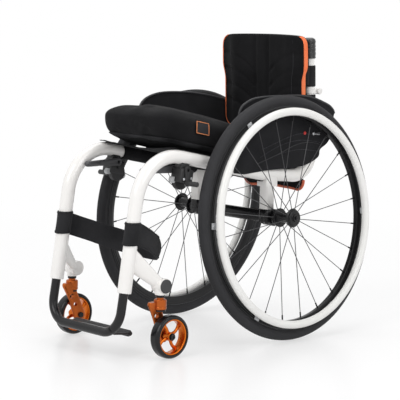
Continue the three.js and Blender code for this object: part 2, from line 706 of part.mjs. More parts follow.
function footplate() {
  const low = footrest.barZ - footrest.tube - clear.touch;
  const front = legPoint(side.x, plate.topZ).y + footrest.tube + clear.run * 2;
  const outline = new THREE.Shape();
  const rear = plate.rearY;
  outline.moveTo(footrest.barY - plate.frontReach, low);
  outline.lineTo(footrest.barY - plate.frontReach, low - plate.lip);
  outline.lineTo(rear - plate.round, low - plate.lip);
  outline.absarc(rear - plate.round, low - plate.lip + plate.round, plate.round, -quarter, 0, false);
  outline.lineTo(rear, plate.topZ - plate.round);
  outline.absarc(rear - plate.round, plate.topZ - plate.round, plate.round, 0, quarter, false);
  outline.lineTo(front, plate.topZ);
  outline.lineTo(front, low);
  const bar = plateYZ(outline, 2 * plate.half, -plate.half, clear.overrun / 2);
  const { half, tongueHalf: inner, tongueY: back, corner } = plate;
  const root = rear - 2 * plate.round;
  const tongue = new THREE.Shape();
  tongue.moveTo(-half + plate.round, root);
  tongue.lineTo(half - plate.round, root);
  tongue.quadraticCurveTo(inner + corner / 2, root + corner / 2, inner, back - corner);
  tongue.quadraticCurveTo(inner, back, inner - corner, back);
  tongue.lineTo(corner - inner, back);
  tongue.quadraticCurveTo(-inner, back, -inner, back - corner);
  tongue.quadraticCurveTo(-inner - corner / 2, root + corner / 2, plate.round - half, root);
  const drawn = { depth: plate.topZ - low, bevelEnabled: false, curveSegments: 5 };
  return join([bar, new THREE.ExtrudeGeometry(tongue, drawn).translate(0, 0, low)]);
}

addPiece("footrest_tube", footrestTube(), black);
addPiece("footplate", footplate(), moulded);

// Calf strap: webbing round both legs that hangs back between them

function calfStrap() {
  const stations = [];
  const centre = legPoint(side.x, strap.legZ);
  const ringRadius = side.tube + strap.ease + strap.thick / 2;
  const start = THREE.MathUtils.degToRad(strap.start);
  const leave = THREE.MathUtils.degToRad(strap.leave);
  const wrap = [];
  for (let i = 0; i <= strap.wrapSteps; i += 1) {
    const angle = THREE.MathUtils.lerp(start, leave, i / strap.wrapSteps);
    const out = new THREE.Vector3(Math.cos(angle), Math.sin(angle), 0);
    wrap.push({ at: centre.clone().addScaledVector(out, ringRadius), out, up: legLine });
  }
  stations.push(...wrap);
  const last = wrap[wrap.length - 1];
  const upright = new THREE.Vector3(0, 0, 1);
  for (let i = 1; i < strap.sagSteps; i += 1) {
    const x = last.at.x * Math.cos(Math.PI * i / strap.sagSteps);
    const share = 1 - (x / last.at.x) ** 2;
    const slope = -2 * x / last.at.x ** 2 * strap.sag;
    const out = new THREE.Vector3(-slope, 1, 0).normalize();
    const fade = Math.min(1, share * 3);
    const at = new THREE.Vector3(x, last.at.y + strap.sag * share, strap.legZ - strap.drop * share);
    stations.push({ at, out, up: legLine.clone().lerp(upright, fade).normalize() });
  }
  const mirrored = [...wrap].reverse().map((one) => ({
    at: new THREE.Vector3(-one.at.x, one.at.y, one.at.z),
    out: new THREE.Vector3(-one.out.x, one.out.y, one.out.z),
    up: one.up,
  }));
  stations.push(...mirrored);
  const rings = stations.map(({ at, out, up }) => [[-1, -1], [1, -1], [1, 1], [-1, 1]].map(([o, u]) =>
    at.clone().addScaledVector(out, o * strap.thick / 2).addScaledVector(up, u * strap.height / 2)));
  return loft(rings);
}
addPiece("calf_strap", calfStrap(), webbing);

// Seat: a sling that hugs the tubes' tops and inner sides, with a contoured cushion on it

// Flat facets round a tube touch it at their middles, so their corners lie further out
const slingArc = THREE.MathUtils.degToRad(sling.innerAngle - sling.outerAngle) / sling.arcSteps;
const slingRadius = (side.tube + clear.touch) / Math.cos(slingArc / 2);

function arcPoints(x, radius, from, to, steps, flip) {
  const points = [];
  for (let i = 0; i <= steps; i += 1) {
    const angle = THREE.MathUtils.degToRad(THREE.MathUtils.lerp(from, to, i / steps));
    points.push(new THREE.Vector2(x + flip * radius * Math.cos(angle), radius * Math.sin(angle)));
  }
  return points;
}

function seatSling() {
  const { arcSteps, topSteps, topAngle, outerAngle, innerAngle } = sling;
  const inner = slingRadius;
  const outer = inner + sling.thick;
  const joinAngle = topAngle + THREE.MathUtils.radToDeg(Math.acos(inner / outer));
  const half = (flip) => [
    ...arcPoints(flip * side.x, outer, topAngle, outerAngle, topSteps, flip),
    ...arcPoints(flip * side.x, inner, outerAngle, innerAngle, arcSteps, flip),
    ...arcPoints(flip * side.x, outer, innerAngle, joinAngle, arcSteps, flip),
  ];
  const left = half(1);
  const right = half(-1).reverse();
  const outline = [...left, ...right];
  const shape = new THREE.Shape(outline.reverse());
  const clip = (y) => new THREE.Vector3(0, y, y < seat.kneeY ? seatTubeZ(y) : seatRearZ(y));
  const corners = [clip(sling.frontY), new THREE.Vector3(0, seat.kneeY, seat.kneeZ), clip(sling.rearY)];
  return sweep(shape, new BentPath(corners, [bend.knee], [bend.knee_steps]));
}

function seatRearZ(y) {
  return seat.kneeZ + (seat.rearZ - seat.kneeZ) * (y - seat.kneeY) / (seat.rearY - seat.kneeY);
}

addPiece("seat_sling", seatSling(), fabric);

function slingTopZ(y) {
  const tubeZ = y < seat.kneeY ? seatTubeZ(y) : seatRearZ(y);
  return tubeZ + (slingRadius + sling.thick) * Math.hypot(1, seatSlope);
}

function seatCushion() {
  const rings = [];
  const length = cushion.rearY - cushion.frontY;
  for (let s = 0; s <= cushion.stations; s += 1) {
    const share = s / cushion.stations;
    const y = cushion.frontY + length * (1 - Math.cos(Math.PI * share)) / 2;
    const inFromEnd = Math.min(y - cushion.frontY, cushion.rearY - y);
    const roll = Math.sqrt(Math.max(0, 1 - (1 - Math.min(1, inFromEnd / cushion.pad)) ** 2));
    const endShare = THREE.MathUtils.lerp(cushion.endShare, 1, roll);
    const base = slingTopZ(y) + cushion.rest;
    const front = 1 - (y - cushion.frontY) / length;
    const ring = [];
    for (let i = 0; i < cushion.around; i += 1) {
      const angle = turn * i / cushion.around;
      const c = Math.cos(angle);
      const sn = Math.sin(angle);
      const across = Math.sign(c) * Math.abs(c) ** cushion.squareShare;
      const height = Math.sign(sn) * Math.abs(sn) ** cushion.squareShare;
      const x = across * (cushion.half - cushion.pad * (1 - endShare));
      const rise = cushion.crown * (1 - across * across) * front * cushion.crownShare;
      const groove = cushion.channel * Math.exp(-((x / cushion.channelHalf) ** 2));
      const noseFar = (share - cushion.noseShare) ** 2 / cushion.noseSpreadShare;
      const nose = cushion.noseLift * Math.exp(-noseFar) * Math.abs(across);
      const contour = height > 0 ? rise - groove + nose : 0;
      const z = base + cushion.thick / 2 + height * cushion.thick / 2 * endShare + contour;
      ring.push(new THREE.Vector3(x * (1 - (1 - Math.abs(height)) * cushion.waist / cushion.half), y, z));
    }
    rings.push(ring);
  }
  return loft(rings);
}
addPiece("seat_cushion", seatCushion(), fabric);

// Side guards: a panel outside each side tube whose rolled edge follows the wheel

const guardX = side.x + side.tube + clear.touch;
const pivotZ = stubTopZ + back.pivotRise;
const padLow = pivotZ + pad.rise;
const padTop = padLow + pad.height;
const caneTop = padTop - back.topDrop;

// The guard's outline, Y and Z as shares of the wheel's radius, from the axle's line and height
const guardShares = {
  frontLow: [-0.546, 0.38], frontTop: [-0.655, 0.875], noseTop: [-0.6, 0.935], crownFront: [-0.36, 0.978],
  crown: [0, 0.985], crownRear: [0.34, 0.978], rearTop: [0.58, 0.918], tail: [0.69, 0.845],
  tailLow: [0.672, 0.79], heel: [0.675, 0.6], heelRound: [0.58, 0.497], rearLow: [0.37, 0.45],
  midLow: [0.2, 0.385], low: [-0.35, 0.345], bolt: [0.464, 0.655],
};

function guardPoint(name) {
  const [y, z] = guardShares[name];
  return new THREE.Vector2(y * wheel.radius, wheelHeight + z * wheel.radius);
}

function guardCrest() {
  const names = ["frontTop", "noseTop", "crownFront", "crown", "crownRear", "rearTop", "tail"];
  return new THREE.SplineCurve(names.map(guardPoint));
}

function sideguard() {
  const crest = guardCrest().getPoints(guard.steps * 4);
  const low = ["tailLow", "heel", "heelRound", "rearLow", "midLow", "low", "frontLow"].map(guardPoint);
  const panel = plateYZ([...crest, ...low].reverse(), guard.thick, guardX);
  const inset = crest.map((point) => {
    const middle = new THREE.Vector2(0, wheelHeight);
    return point.clone().add(middle.clone().sub(point).setLength(guard.lipDrop));
  });
  const lipDepth = guard.lip + clear.touch;
  const lip = plateYZ([...crest, ...inset.reverse()].reverse(), lipDepth, guardX - guard.lip);
  const bolt = guardPoint("bolt");
  const boss = rod(guard.boss, guard.bossProud + guard.thick, 16,
    guardX + (guard.thick + guard.bossProud) / 2, bolt.x, bolt.y);
  return join([panel, lip, boss]);
}
for (const [name, hand] of hands) addPiece(`sideguard_${name}`, handed(sideguard(), hand), moulded);

// Wheel locks: a saddle under each tube, an inner lever and an outer shoe in front of the tyre

const lockTubeZ = seatTubeZ(lock.y);
const lockPivotZ = lockTubeZ - side.tube - lock.pivotDrop;

function lockBody() {
  const middle = lockTubeZ - lock.rise - lock.drop / 2;
  const body = block(2 * lock.half, lock.depth, lock.drop, side.x, lock.y, middle);
  const pins = [1, -1].map((way) => rod(lock.pin, lock.pinLength + clear.overrun, 12,
    side.x + way * (lock.half + (lock.pinLength - clear.overrun) / 2), lock.y, lockPivotZ));
  const tubeCut = sweep(circleShape(side.tube + clear.touch * 2, side.sides), framePath(side.x));
  return join([body, ...pins], [tubeCut]);
}

function lockLever() {
  const outer = side.x - lock.half - lock.washer;
  const shape = new THREE.Shape();
  shape.absarc(lock.y, lockPivotZ, lock.leverHalf + clear.overrun, -quarter, quarter, false);
  shape.lineTo(lock.y - lock.leverReach, lockPivotZ + lock.leverTip);
  shape.absarc(lock.y - lock.leverReach, lockPivotZ, lock.leverTip, quarter, 3 * quarter, false);
  const plateBar = plateYZ(shape, lock.leverThick, outer - lock.leverThick);
  const grip = new THREE.CapsuleGeometry(lock.grip, lock.gripLength, 3, 10)
    .translate(outer - lock.grip, lock.y - lock.leverReach + lock.gripLength / 3, lockPivotZ);
  const bore = rod(lock.pin + clear.touch, lock.leverThick * 4, 12, outer, lock.y, lockPivotZ);
  return join([plateBar, grip], [bore]);
}

function lockShoe() {
  const inner = side.x + lock.half + lock.washer;
  const shape = new THREE.Shape();
  const low = lockPivotZ - lock.armLength;
  shape.absarc(lock.y, lockPivotZ, lock.leverHalf + clear.overrun, 0, 2 * quarter, false);
  shape.lineTo(lock.y - lock.leverHalf, low);
  shape.absarc(lock.y, low, lock.leverHalf, 2 * quarter, 4 * quarter, false);
  const arm = plateYZ(shape, lock.armThick, inner);
  const shoe = rod(lock.shoe, lock.shoeReach, 12, inner + lock.shoeReach / 2, lock.y, low);
  const bore = rod(lock.pin + clear.touch, lock.armThick * 4, 12, inner, lock.y, lockPivotZ);
  return join([arm, shoe], [bore]);
}

for (const [name, hand] of hands) {
  addPiece(`lock_body_${name}`, handed(lockBody(), hand), moulded);
  addPiece(`lock_lever_${name}`, handed(lockLever(), hand), moulded);
  addPiece(`lock_shoe_${name}`, handed(lockShoe(), hand), moulded);
}

// Backrest: canes on pivots over the stubs, a cross bar behind and a padded upholstery in front

function backPoint(x, z) {
  return new THREE.Vector3(x, back.pivotY - (z - pivotZ) * Math.tan(back.lean), z);
}

function alongCane(radius, low, high, segments, x = back.x) {
  const from = backPoint(x, low);
  const to = backPoint(x, high);
  const cylinder = new THREE.CylinderGeometry(radius, radius, from.distanceTo(to), segments);
  const way = to.clone().sub(from).normalize();
  const tilt = new THREE.Quaternion().setFromUnitVectors(new THREE.Vector3(0, 1, 0), way);
  const middle = from.lerp(to, 0.5);
  return cylinder.applyQuaternion(tilt).translate(middle.x, middle.y, middle.z);
}

const caneLow = pivotZ - back.tube;
const barZ = THREE.MathUtils.lerp(pivotZ, caneTop, back.barShare);
const barY = backPoint(back.x, barZ).y + back.barBehind;
const hingeInner = side.x - side.tube - clear.touch - back.hingeThick;

function backCane() {
  const cane = alongCane(back.tube, caneLow, caneTop, back.sides);
  const clamp = alongCane(back.tube + back.clampWall, barZ - back.clampHalf, barZ + back.clampHalf, 16);
  const armY = barY - back.barBehind / 2;
  const arm = block(back.bar * 2, back.barBehind, back.clampHalf * 2, back.x, armY, barZ);
  const barCut = rod(back.bar + clear.touch, back.bar * 8, 16, back.x, barY, barZ);
  const pinCut = rod(back.hingePin + clear.touch, back.tube * 4, 12, back.x, back.pivotY, pivotZ);
  return join([cane, clamp, arm], [barCut, pinCut]);
}

function backHinge() {
  const low = stubTopZ - back.hingeDrop;
  const inner = hingeInner;
  const shape = new THREE.Shape();
  shape.absarc(back.pivotY, pivotZ, back.tube, 0, 2 * quarter, false);
  shape.lineTo(stub.topY - back.tube, low);
  shape.lineTo(stub.topY + back.tube, low);
  const cheek = plateYZ(shape, back.hingeThick, inner);
  const pinLength = back.x + back.tube - inner;
  const pin = rod(back.hingePin, pinLength, 12, inner + pinLength / 2, back.pivotY, pivotZ);
  return join([cheek, pin]);
}

function caneCap() {
  const low = caneTop - back.capLength;
  const high = caneTop + clear.touch;
  const grip = alongCane(back.tube + back.capWall, low, high + back.capTop, 16);
  const bore = alongCane(back.tube + clear.touch, low - clear.overrun, high, back.sides);
  return join([grip], [bore]);
}

for (const [name, hand] of hands) {
  addPiece(`back_hinge_${name}`, handed(backHinge(), hand), black);
  addPiece(`back_cane_${name}`, handed(backCane(), hand), white);
  addPiece(`cane_cap_${name}`, handed(caneCap(), hand), glossRubber);
}

addPiece("back_crossbar", rod(back.bar, 2 * back.barReach, 16, 0, barY, barZ), white);

function backUpholstery() {
  const rings = [];
  for (let s = 0; s <= pad.stations; s += 1) {
    const share = (1 - Math.cos(Math.PI * s / pad.stations)) / 2;
    const z = padLow + pad.height * share;
    const flare = THREE.MathUtils.smoothstep(share, pad.flareFromShare, pad.flareToShare);
    const half = THREE.MathUtils.lerp(pad.halfLow, pad.halfTop, flare);
    const inFromEnd = Math.min(z - padLow, padTop - z);
    const roll = Math.sqrt(Math.max(0, 1 - (1 - Math.min(1, inFromEnd / (pad.edge * 2))) ** 2));
    const endShare = THREE.MathUtils.lerp(pad.endShare, 1, roll);
    const crown = share > pad.crownFromShare ? pad.crown : 0;
    const caneFront = backPoint(back.x, z).y - back.tube / Math.cos(back.lean) - clear.touch;
    const ring = [];
    for (let i = 0; i < pad.around; i += 1) {
      const angle = turn * i / pad.around;
      const c = Math.cos(angle);
      const sn = Math.sin(angle);
      const across = Math.sign(c) * Math.abs(c) ** pad.squareShare;
      const depth = Math.sign(sn) * Math.abs(sn) ** pad.squareShare;
      const x = across * (half - pad.edge * (1 - endShare));
      const dish = pad.dish * (1 - across * across);
      const fromChannel = (Math.abs(x) / half - pad.channelShare) / pad.channelSpreadShare;
      const channel = depth < 0 ? pad.channel * Math.exp(-(fromChannel ** 2)) : 0;
      const middle = caneFront - back.capWall - pad.lap - pad.thick / 2;
      const y = middle + depth * pad.thick / 2 * endShare + dish + channel;
      ring.push(new THREE.Vector3(x, y, z + crown * (1 - across * across)));
    }
    rings.push(ring);
  }
  const loops = [];
  const bores = [];
  const loopZ = padLow + pad.height * pad.loopShare;
  const loopHalf = pad.height * pad.loopHalfShare;
  const loopRadius = back.tube + clear.touch + pad.loopWall;
  for (const [, hand] of hands) {
    const x = hand * back.x;
    const tabY = backPoint(x, loopZ).y - back.tube - pad.loopReach / 2;
    loops.push(alongCane(loopRadius, loopZ - loopHalf, loopZ + loopHalf, 16, x));
    loops.push(block(2 * back.tube, pad.loopReach, 2 * loopHalf, x, tabY, loopZ));
    bores.push(alongCane(back.tube + clear.touch * 2, padLow, padTop, back.sides, x));
  }
  return join([loft(rings), ...loops], bores);
}
addPiece("back_upholstery", backUpholstery(), fabric);

// Rear flap: cloth that hangs behind the seat between the stubs

function rearFlap() {
  const fall = new THREE.QuadraticBezierCurve(new THREE.Vector2(flap.topY, flap.topZ),
    new THREE.Vector2(flap.midY, flap.midZ), new THREE.Vector2(flap.lowY, flap.lowZ));
  const half = hingeInner - clear.touch;
  const rings = [];
  for (let i = 0; i <= flap.across; i += 1) {
    const share = i / flap.across;
    const x = THREE.MathUtils.lerp(-half, half, share);
    const front = [];
    const rear = [];
    for (let j = 0; j <= flap.down; j += 1) {
      const fallen = fall.getPoint(j / flap.down);
      const wave = flap.ripple * (j / flap.down) * Math.sin(turn * flap.folds / 2 * share);
      front.push(new THREE.Vector3(x, fallen.x + wave, fallen.y));
      rear.push(new THREE.Vector3(x, fallen.x + wave + flap.thick, fallen.y));
    }
    rings.push([...front, ...rear.reverse()]);
  }
  return loft(rings);
}
addPiece("back_flap", rearFlap(), fabric);

// The origin goes to the centre of the footprint, on the floor

chair.updateMatrixWorld(true);
const bounds = new THREE.Box3().setFromObject(chair, true);
const middleY = (bounds.min.y + bounds.max.y) / 2;
chair.position.set(0, -middleY, 0);

export default chair;
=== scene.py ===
import json
import math

import bmesh
import bpy
from mathutils import Matrix, Vector, noise

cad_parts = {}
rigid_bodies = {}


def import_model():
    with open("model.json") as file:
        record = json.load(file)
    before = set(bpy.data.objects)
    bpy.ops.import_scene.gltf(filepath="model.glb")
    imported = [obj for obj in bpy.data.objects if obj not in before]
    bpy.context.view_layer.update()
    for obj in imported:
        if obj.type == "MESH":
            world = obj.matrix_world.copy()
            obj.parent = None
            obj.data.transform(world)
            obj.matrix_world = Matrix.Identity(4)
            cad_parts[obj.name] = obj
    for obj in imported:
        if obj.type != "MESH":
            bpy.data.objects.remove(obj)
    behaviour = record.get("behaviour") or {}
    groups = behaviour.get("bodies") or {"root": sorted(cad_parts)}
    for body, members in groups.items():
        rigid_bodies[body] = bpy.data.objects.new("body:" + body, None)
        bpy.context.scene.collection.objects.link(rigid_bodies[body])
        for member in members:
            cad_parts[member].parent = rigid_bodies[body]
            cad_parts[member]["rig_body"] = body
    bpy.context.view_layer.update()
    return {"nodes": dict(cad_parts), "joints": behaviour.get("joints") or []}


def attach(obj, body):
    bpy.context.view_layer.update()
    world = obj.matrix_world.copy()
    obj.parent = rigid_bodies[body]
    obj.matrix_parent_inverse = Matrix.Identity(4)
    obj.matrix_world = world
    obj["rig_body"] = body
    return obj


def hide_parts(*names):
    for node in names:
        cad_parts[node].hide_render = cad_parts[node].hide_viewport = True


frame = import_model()

# The looks of a rigid frame active wheelchair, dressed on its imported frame. Pieces are modelled in
# millimetres from the rear axle's line, with the user facing -Y and the left side at +X.

MM = 0.001
JOINTS = {joint["name"]: joint for joint in frame["joints"]}
AXLE_Y = JOINTS["rear_wheel_left_spin"]["pos_m"][1]
WHEEL_HEIGHT = JOINTS["rear_wheel_left_spin"]["pos_m"][2] / MM
TO_ROW = Matrix.Translation((0, AXLE_Y, 0)) @ Matrix.Scale(MM, 4)
SIDES = (("left", 1), ("right", -1))
QUARTER = math.pi / 2

# Driving sizes, millimetres

WHEEL_HALF_TRACK = 180
CAMBER = math.radians(5)
TYRE_RADIUS = 295
TYRE_HALF = 13
BEAD = 269.5
HANDRIM_RING = 255.6
HANDRIM_TUBE = 9.5
HANDRIM_OFFSET = 27.7
HANDRIM_TABS = 6
SPOKES = 24

FRAME_X = 121
FRAME_TUBE = 16
LEG_END = Vector((FRAME_X, -468, 152))
FRAME_CORNERS = [LEG_END, Vector((FRAME_X, -419, 473)), Vector((FRAME_X, -40, 398)),
                 Vector((FRAME_X, 141, 382)), Vector((FRAME_X, 137.6, 462))]
FRAME_RADII = (110, 300, 58)
LEG_BORE = 11.6
LEG_LINE = (FRAME_CORNERS[1] - FRAME_CORNERS[0]).normalized()
SEAT_SLOPE = (FRAME_CORNERS[2].z - FRAME_CORNERS[1].z) / (FRAME_CORNERS[2].y - FRAME_CORNERS[1].y)

HOUSING_Y = -388
HOUSING_Z = 166
HOUSING_INNER = 140
HOUSING_OUTER = 171
HOUSING_RADIUS = 17.5

CASTOR_X = 172
CASTOR_Y = -374
CASTOR_Z = 50
CASTOR_HALF = 14
SWIVEL = Vector((158, -392, 0))

AXLE_HEIGHT = WHEEL_HEIGHT - (WHEEL_HALF_TRACK - 134) * math.tan(CAMBER)
FOOT_TUBE = 10.5
FOOT_BAR = Vector((FRAME_X, -485, 58))

CANE_X = 118
CANE_TUBE = 13
PIVOT_Y = 137
PIVOT_Z = 487
LEAN = math.radians(2.8)
CANE_TOP = 716


# Modelling

def smoothstep(value, low, high):
    share = min(1.0, max(0.0, (value - low) / (high - low)))
    return share * share * (3 - 2 * share)


def ring_matrix(point, tangent, across, wide, tall):
    """Places the unit circle square to a tangent, with its first axis along across."""
    z = tangent.normalized()
    y = z.cross(across).normalized()
    x = y.cross(z)
    basis = Matrix((x * wide, y * tall, z)).transposed().to_4x4()
    return Matrix.Translation(point) @ basis


def once(items):
    """Each item once, in an order that is the same each run, which a set's isn't."""
    return list(dict.fromkeys(items))


def edges_of(verts):
    return once(edge for vert in verts for edge in vert.link_edges)


def skin(bm, matrices, sides, power=1.0, cap=True):
    """Extrudes a circle, or a squarer ring, from one matrix to the next."""
    made = bmesh.ops.create_circle(bm, cap_ends=cap, segments=sides, radius=1)["verts"]
    for vert in made:
        angle = math.atan2(vert.co.y, vert.co.x)
        c, s = math.cos(angle), math.sin(angle)
        vert.co = (math.copysign(abs(c) ** power, c), math.copysign(abs(s) ** power, s), 0)
    edges = edges_of(made)
    bmesh.ops.transform(bm, matrix=matrices[0], verts=made)
    verts = made
    for before, after in zip(matrices, matrices[1:]):
        grown = bmesh.ops.extrude_edge_only(bm, edges=edges)["geom"]
        verts = [item for item in grown if isinstance(item, bmesh.types.BMVert)]
        edges = [item for item in grown if isinstance(item, bmesh.types.BMEdge)]
        bmesh.ops.transform(bm, matrix=after @ before.inverted(), verts=verts)
    if cap:
        bmesh.ops.contextual_create(bm, geom=edges)


def bent(corners, radii, steps=14):
    """Points of a line whose corners are arcs."""
    points = [corners[0].copy()]
    for before, corner, after, radius in zip(corners, corners[1:], corners[2:], radii):
        inward = (corner - before).normalized()
        outward = (after - corner).normalized()
        angle = inward.angle(outward)
        start = corner - inward * radius * math.tan(angle / 2)
        spin = inward.cross(outward).normalized()
        centre = start + spin.cross(inward) * radius
        for step in range(steps + 1):
            turned = Matrix.Rotation(angle * step / steps, 3, spin)
            points.append(centre + turned @ (start - centre))
    points.append(corners[-1].copy())
    return points


def along(points, radius, across=(1, 0, 0)):
    """Ring matrices of one radius along a line of points."""
    across = Vector(across)
    last = len(points) - 1
    placed = []
    for index, point in enumerate(points):
        before = points[max(index - 1, 0)]
        after = points[min(index + 1, last)]
        tangent = ((point - before).normalized() + (after - point).normalized()).normalized()
        side = across
        if abs(tangent.dot(across.normalized())) > 0.8:
            side = Vector((0, 0, 1))
        placed.append(ring_matrix(point, tangent, side, radius, radius))
    return placed


def tube(bm, points, radius, sides=24, across=(1, 0, 0)):
    """A tube on a line of points, its ends eased."""
    rings = along(points, radius, across)
    ease = min(radius * 0.12, 1.2)
    first, last = rings[0], rings[-1]
    shrink = Matrix.Diagonal((1 - ease / radius, 1 - ease / radius, 1, 1))
    head = Matrix.Translation((points[1] - points[0]).normalized() * ease) @ first
    tail = Matrix.Translation((points[-2] - points[-1]).normalized() * ease) @ last
    skin(bm, [first @ shrink, head, *rings[1:-1], tail, last @ shrink], sides)


def eased(profile, ease, closed=False):
    """A profile with its corners rounded, for soft highlights."""
    count = len(profile)
    points = [Vector(point) for point in profile]
    result = []
    for index, point in enumerate(points):
        if not closed and index in (0, count - 1):
            result.append(point)
            continue
        before = points[index - 1]
        after = points[(index + 1) % count]
        back, ahead = before - point, after - point
        reach = min(ease, back.length * 0.45, ahead.length * 0.45)
        start = point + back.normalized() * reach
        end = point + ahead.normalized() * reach
        for share in (0, 0.25, 0.5, 0.75, 1):
            first = start.lerp(point, share)
            second = point.lerp(end, share)
            result.append(first.lerp(second, share))
    return result


def lathe(bm, profile, steps=64, ease=0.0, closed=False, axis="X"):
    """Spins a profile of places along an axis and radii."""
    points = eased(profile, ease, closed) if ease else [Vector(point) for point in profile]
    made = [bm.verts.new((place, 0, radius)) for place, radius in points]
    pairs = list(zip(made, made[1:]))
    if closed:
        pairs.append((made[-1], made[0]))
    edges = [bm.edges.new(pair) for pair in pairs]
    before = set(bm.verts) - set(made)
    bmesh.ops.spin(bm, geom=made + edges, cent=(0, 0, 0), axis=(1, 0, 0), angle=math.tau,
                   steps=steps, use_merge=True)
    fresh = [vert for vert in bm.verts if vert not in before]
    if axis == "Z":
        bmesh.ops.rotate(bm, verts=fresh, cent=(0, 0, 0), matrix=Matrix.Rotation(-QUARTER, 3, "Y"))
    return fresh


def drum(low, high, radius, bore=0):
    """The profile of a cylinder between two places on its axis, with or without a bore."""
    return [(low, bore), (low, radius), (high, radius), (high, bore)]


def turned(bm, profile, place, steps=32, ease=0.0, axis="X"):
    """A lathe piece moved to its place."""
    fresh = lathe(bm, profile, steps, ease, False, axis)
    bmesh.ops.translate(bm, vec=place, verts=fresh)
    return fresh


def ease_edges(bm, edges, offset, segments):
    return bmesh.ops.bevel(bm, geom=edges, offset=offset, segments=segments, profile=0.5, affect="EDGES",
                           material=-1, clamp_overlap=True)


def block(bm, size, centre, ease=1.0, turn=None):
    """A box with eased edges."""
    made = bmesh.ops.create_cube(bm, size=1)["verts"]
    bmesh.ops.scale(bm, vec=size, verts=made)
    eased_faces = ease_edges(bm, edges_of(made), ease, 3)["faces"]
    kept = [vert for vert in made if vert.is_valid]
    verts = once([vert for face in eased_faces for vert in face.verts] + kept)
    if turn is not None:
        bmesh.ops.rotate(bm, verts=verts, cent=(0, 0, 0), matrix=turn)
    bmesh.ops.translate(bm, vec=centre, verts=verts)
    return verts


def shade(bm, sharp):
    """Smooths the faces, but for creases beyond an angle in degrees."""
    for face in bm.faces:
        face.smooth = True
    for edge in bm.edges:
        if edge.is_manifold and edge.calc_face_angle() > math.radians(sharp):
            edge.smooth = False


def to_mesh(name, bm):
    mesh = bpy.data.meshes.new(name)
    bm.to_mesh(mesh)
    bm.free()
    return mesh


def new_object(name, data):
    thing = bpy.data.objects.new(name, data)
    bpy.context.scene.collection.objects.link(thing)
    return thing


def dress(piece, finish, body, stands_for=(), slot=None):
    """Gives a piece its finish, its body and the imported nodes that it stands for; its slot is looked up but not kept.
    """
    piece.data.materials.append(finish)
    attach(piece, body)
    if stands_for:
        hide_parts(*stands_for)
    slot or SLOTS[finish.name]
    return piece


def make(name, bm, finish, body="frame", stands_for=(), hand=1, sharp=38, slot=None):
    """Turns a bmesh in millimetres into a finished piece. A negative hand mirrors it to the right side."""
    if hand < 0:
        bmesh.ops.scale(bm, vec=(-1, 1, 1), verts=bm.verts)
    bmesh.ops.remove_doubles(bm, verts=bm.verts, dist=0.002)
    bmesh.ops.recalc_face_normals(bm, faces=bm.faces)
    shade(bm, sharp)
    bmesh.ops.transform(bm, matrix=TO_ROW, verts=bm.verts)
    return dress(new_object(name, to_mesh(name, bm)), finish, body, stands_for, slot)


def turned_piece(name, finish, profile, place, steps, ease, axis, *facts, **more):
    """A piece that is a single lathe form."""
    bm = bmesh.new()
    turned(bm, profile, place, steps, ease, axis)
    return make(name, bm, finish, *facts, **more)


def tube_piece(name, finish, lines, radius, sides, *facts, across=(1, 0, 0), **more):
    """A piece of one or more tubes."""
    bm = bmesh.new()
    for line in lines:
        tube(bm, line, radius, sides, across)
    return make(name, bm, finish, *facts, **more)


def sheet_strip(bm, count, rows, place):
    """A grid whose vertices are moved by a formula of its two shares."""
    for vert in bmesh.ops.create_grid(bm, x_segments=count, y_segments=rows, size=0.5)["verts"]:
        vert.co = place(vert.co.x + 0.5, vert.co.y + 0.5)


def thicken(bm, thickness):
    bmesh.ops.recalc_face_normals(bm, faces=bm.faces)
    bmesh.ops.solidify(bm, geom=bm.faces[:], thickness=thickness)


def sheet_piece(name, finish, place, count, rows, thickness, *facts, **more):
    """A sheet with a real thickness, shaped by a formula."""
    bm = bmesh.new()
    sheet_strip(bm, count, rows, place)
    thicken(bm, thickness)
    return make(name, bm, finish, *facts, **more)


def refined(node, finish, ease):
    """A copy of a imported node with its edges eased, which stands for the node."""
    sharp, crease = 34, 46
    source = frame["nodes"][node]
    bm = bmesh.new()
    bm.from_mesh(source.data)
    bmesh.ops.remove_doubles(bm, verts=bm.verts, dist=1e-5)
    bmesh.ops.dissolve_limit(bm, angle_limit=math.radians(1), verts=bm.verts, edges=bm.edges)
    edges = [edge for edge in bm.edges if edge.is_manifold and edge.calc_face_angle() > math.radians(sharp)]
    ease_edges(bm, edges, ease * MM, 2)
    shade(bm, crease)
    name = node + "_finished"
    return dress(new_object(name, to_mesh(name, bm)), finish, source["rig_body"], (node,))


# Materials

SLOTS = {}


def fill(tree, made, inputs):
    """Sets a node's sockets to values, or links them to other sockets."""
    for label, value in inputs.items():
        socket = made.inputs[label.replace("_", " ")]
        if isinstance(value, bpy.types.NodeSocket):
            tree.links.new(value, socket)
        else:
            socket.default_value = value
    return made


def add_node(tree, kind, settings=None, **inputs):
    made = tree.nodes.new("ShaderNode" + kind)
    for label, value in (settings or {}).items():
        setattr(made, label, value)
    return fill(tree, made, inputs)


def math_node(tree, operation, first, second=None):
    made = add_node(tree, "Math", {"operation": operation})
    for socket, value in zip(made.inputs, (first, second)):
        if isinstance(value, bpy.types.NodeSocket):
            tree.links.new(value, socket)
        elif value is not None:
            socket.default_value = value
    return made.outputs[0]


def new_group(name, inputs):
    """A group with the outputs Height and Patch, its ends and the place in Object coordinates."""
    group = bpy.data.node_groups.new(name, "ShaderNodeTree")
    for label, value in inputs.items():
        group.interface.new_socket(label, in_out="INPUT", socket_type="NodeSocketFloat").default_value = value
    for label in ("Height", "Patch"):
        group.interface.new_socket(label, in_out="OUTPUT", socket_type="NodeSocketFloat")
    start = group.nodes.new("NodeGroupInput")
    end = group.nodes.new("NodeGroupOutput")
    return group, start, end, add_node(group, "TexCoord").outputs["Object"]


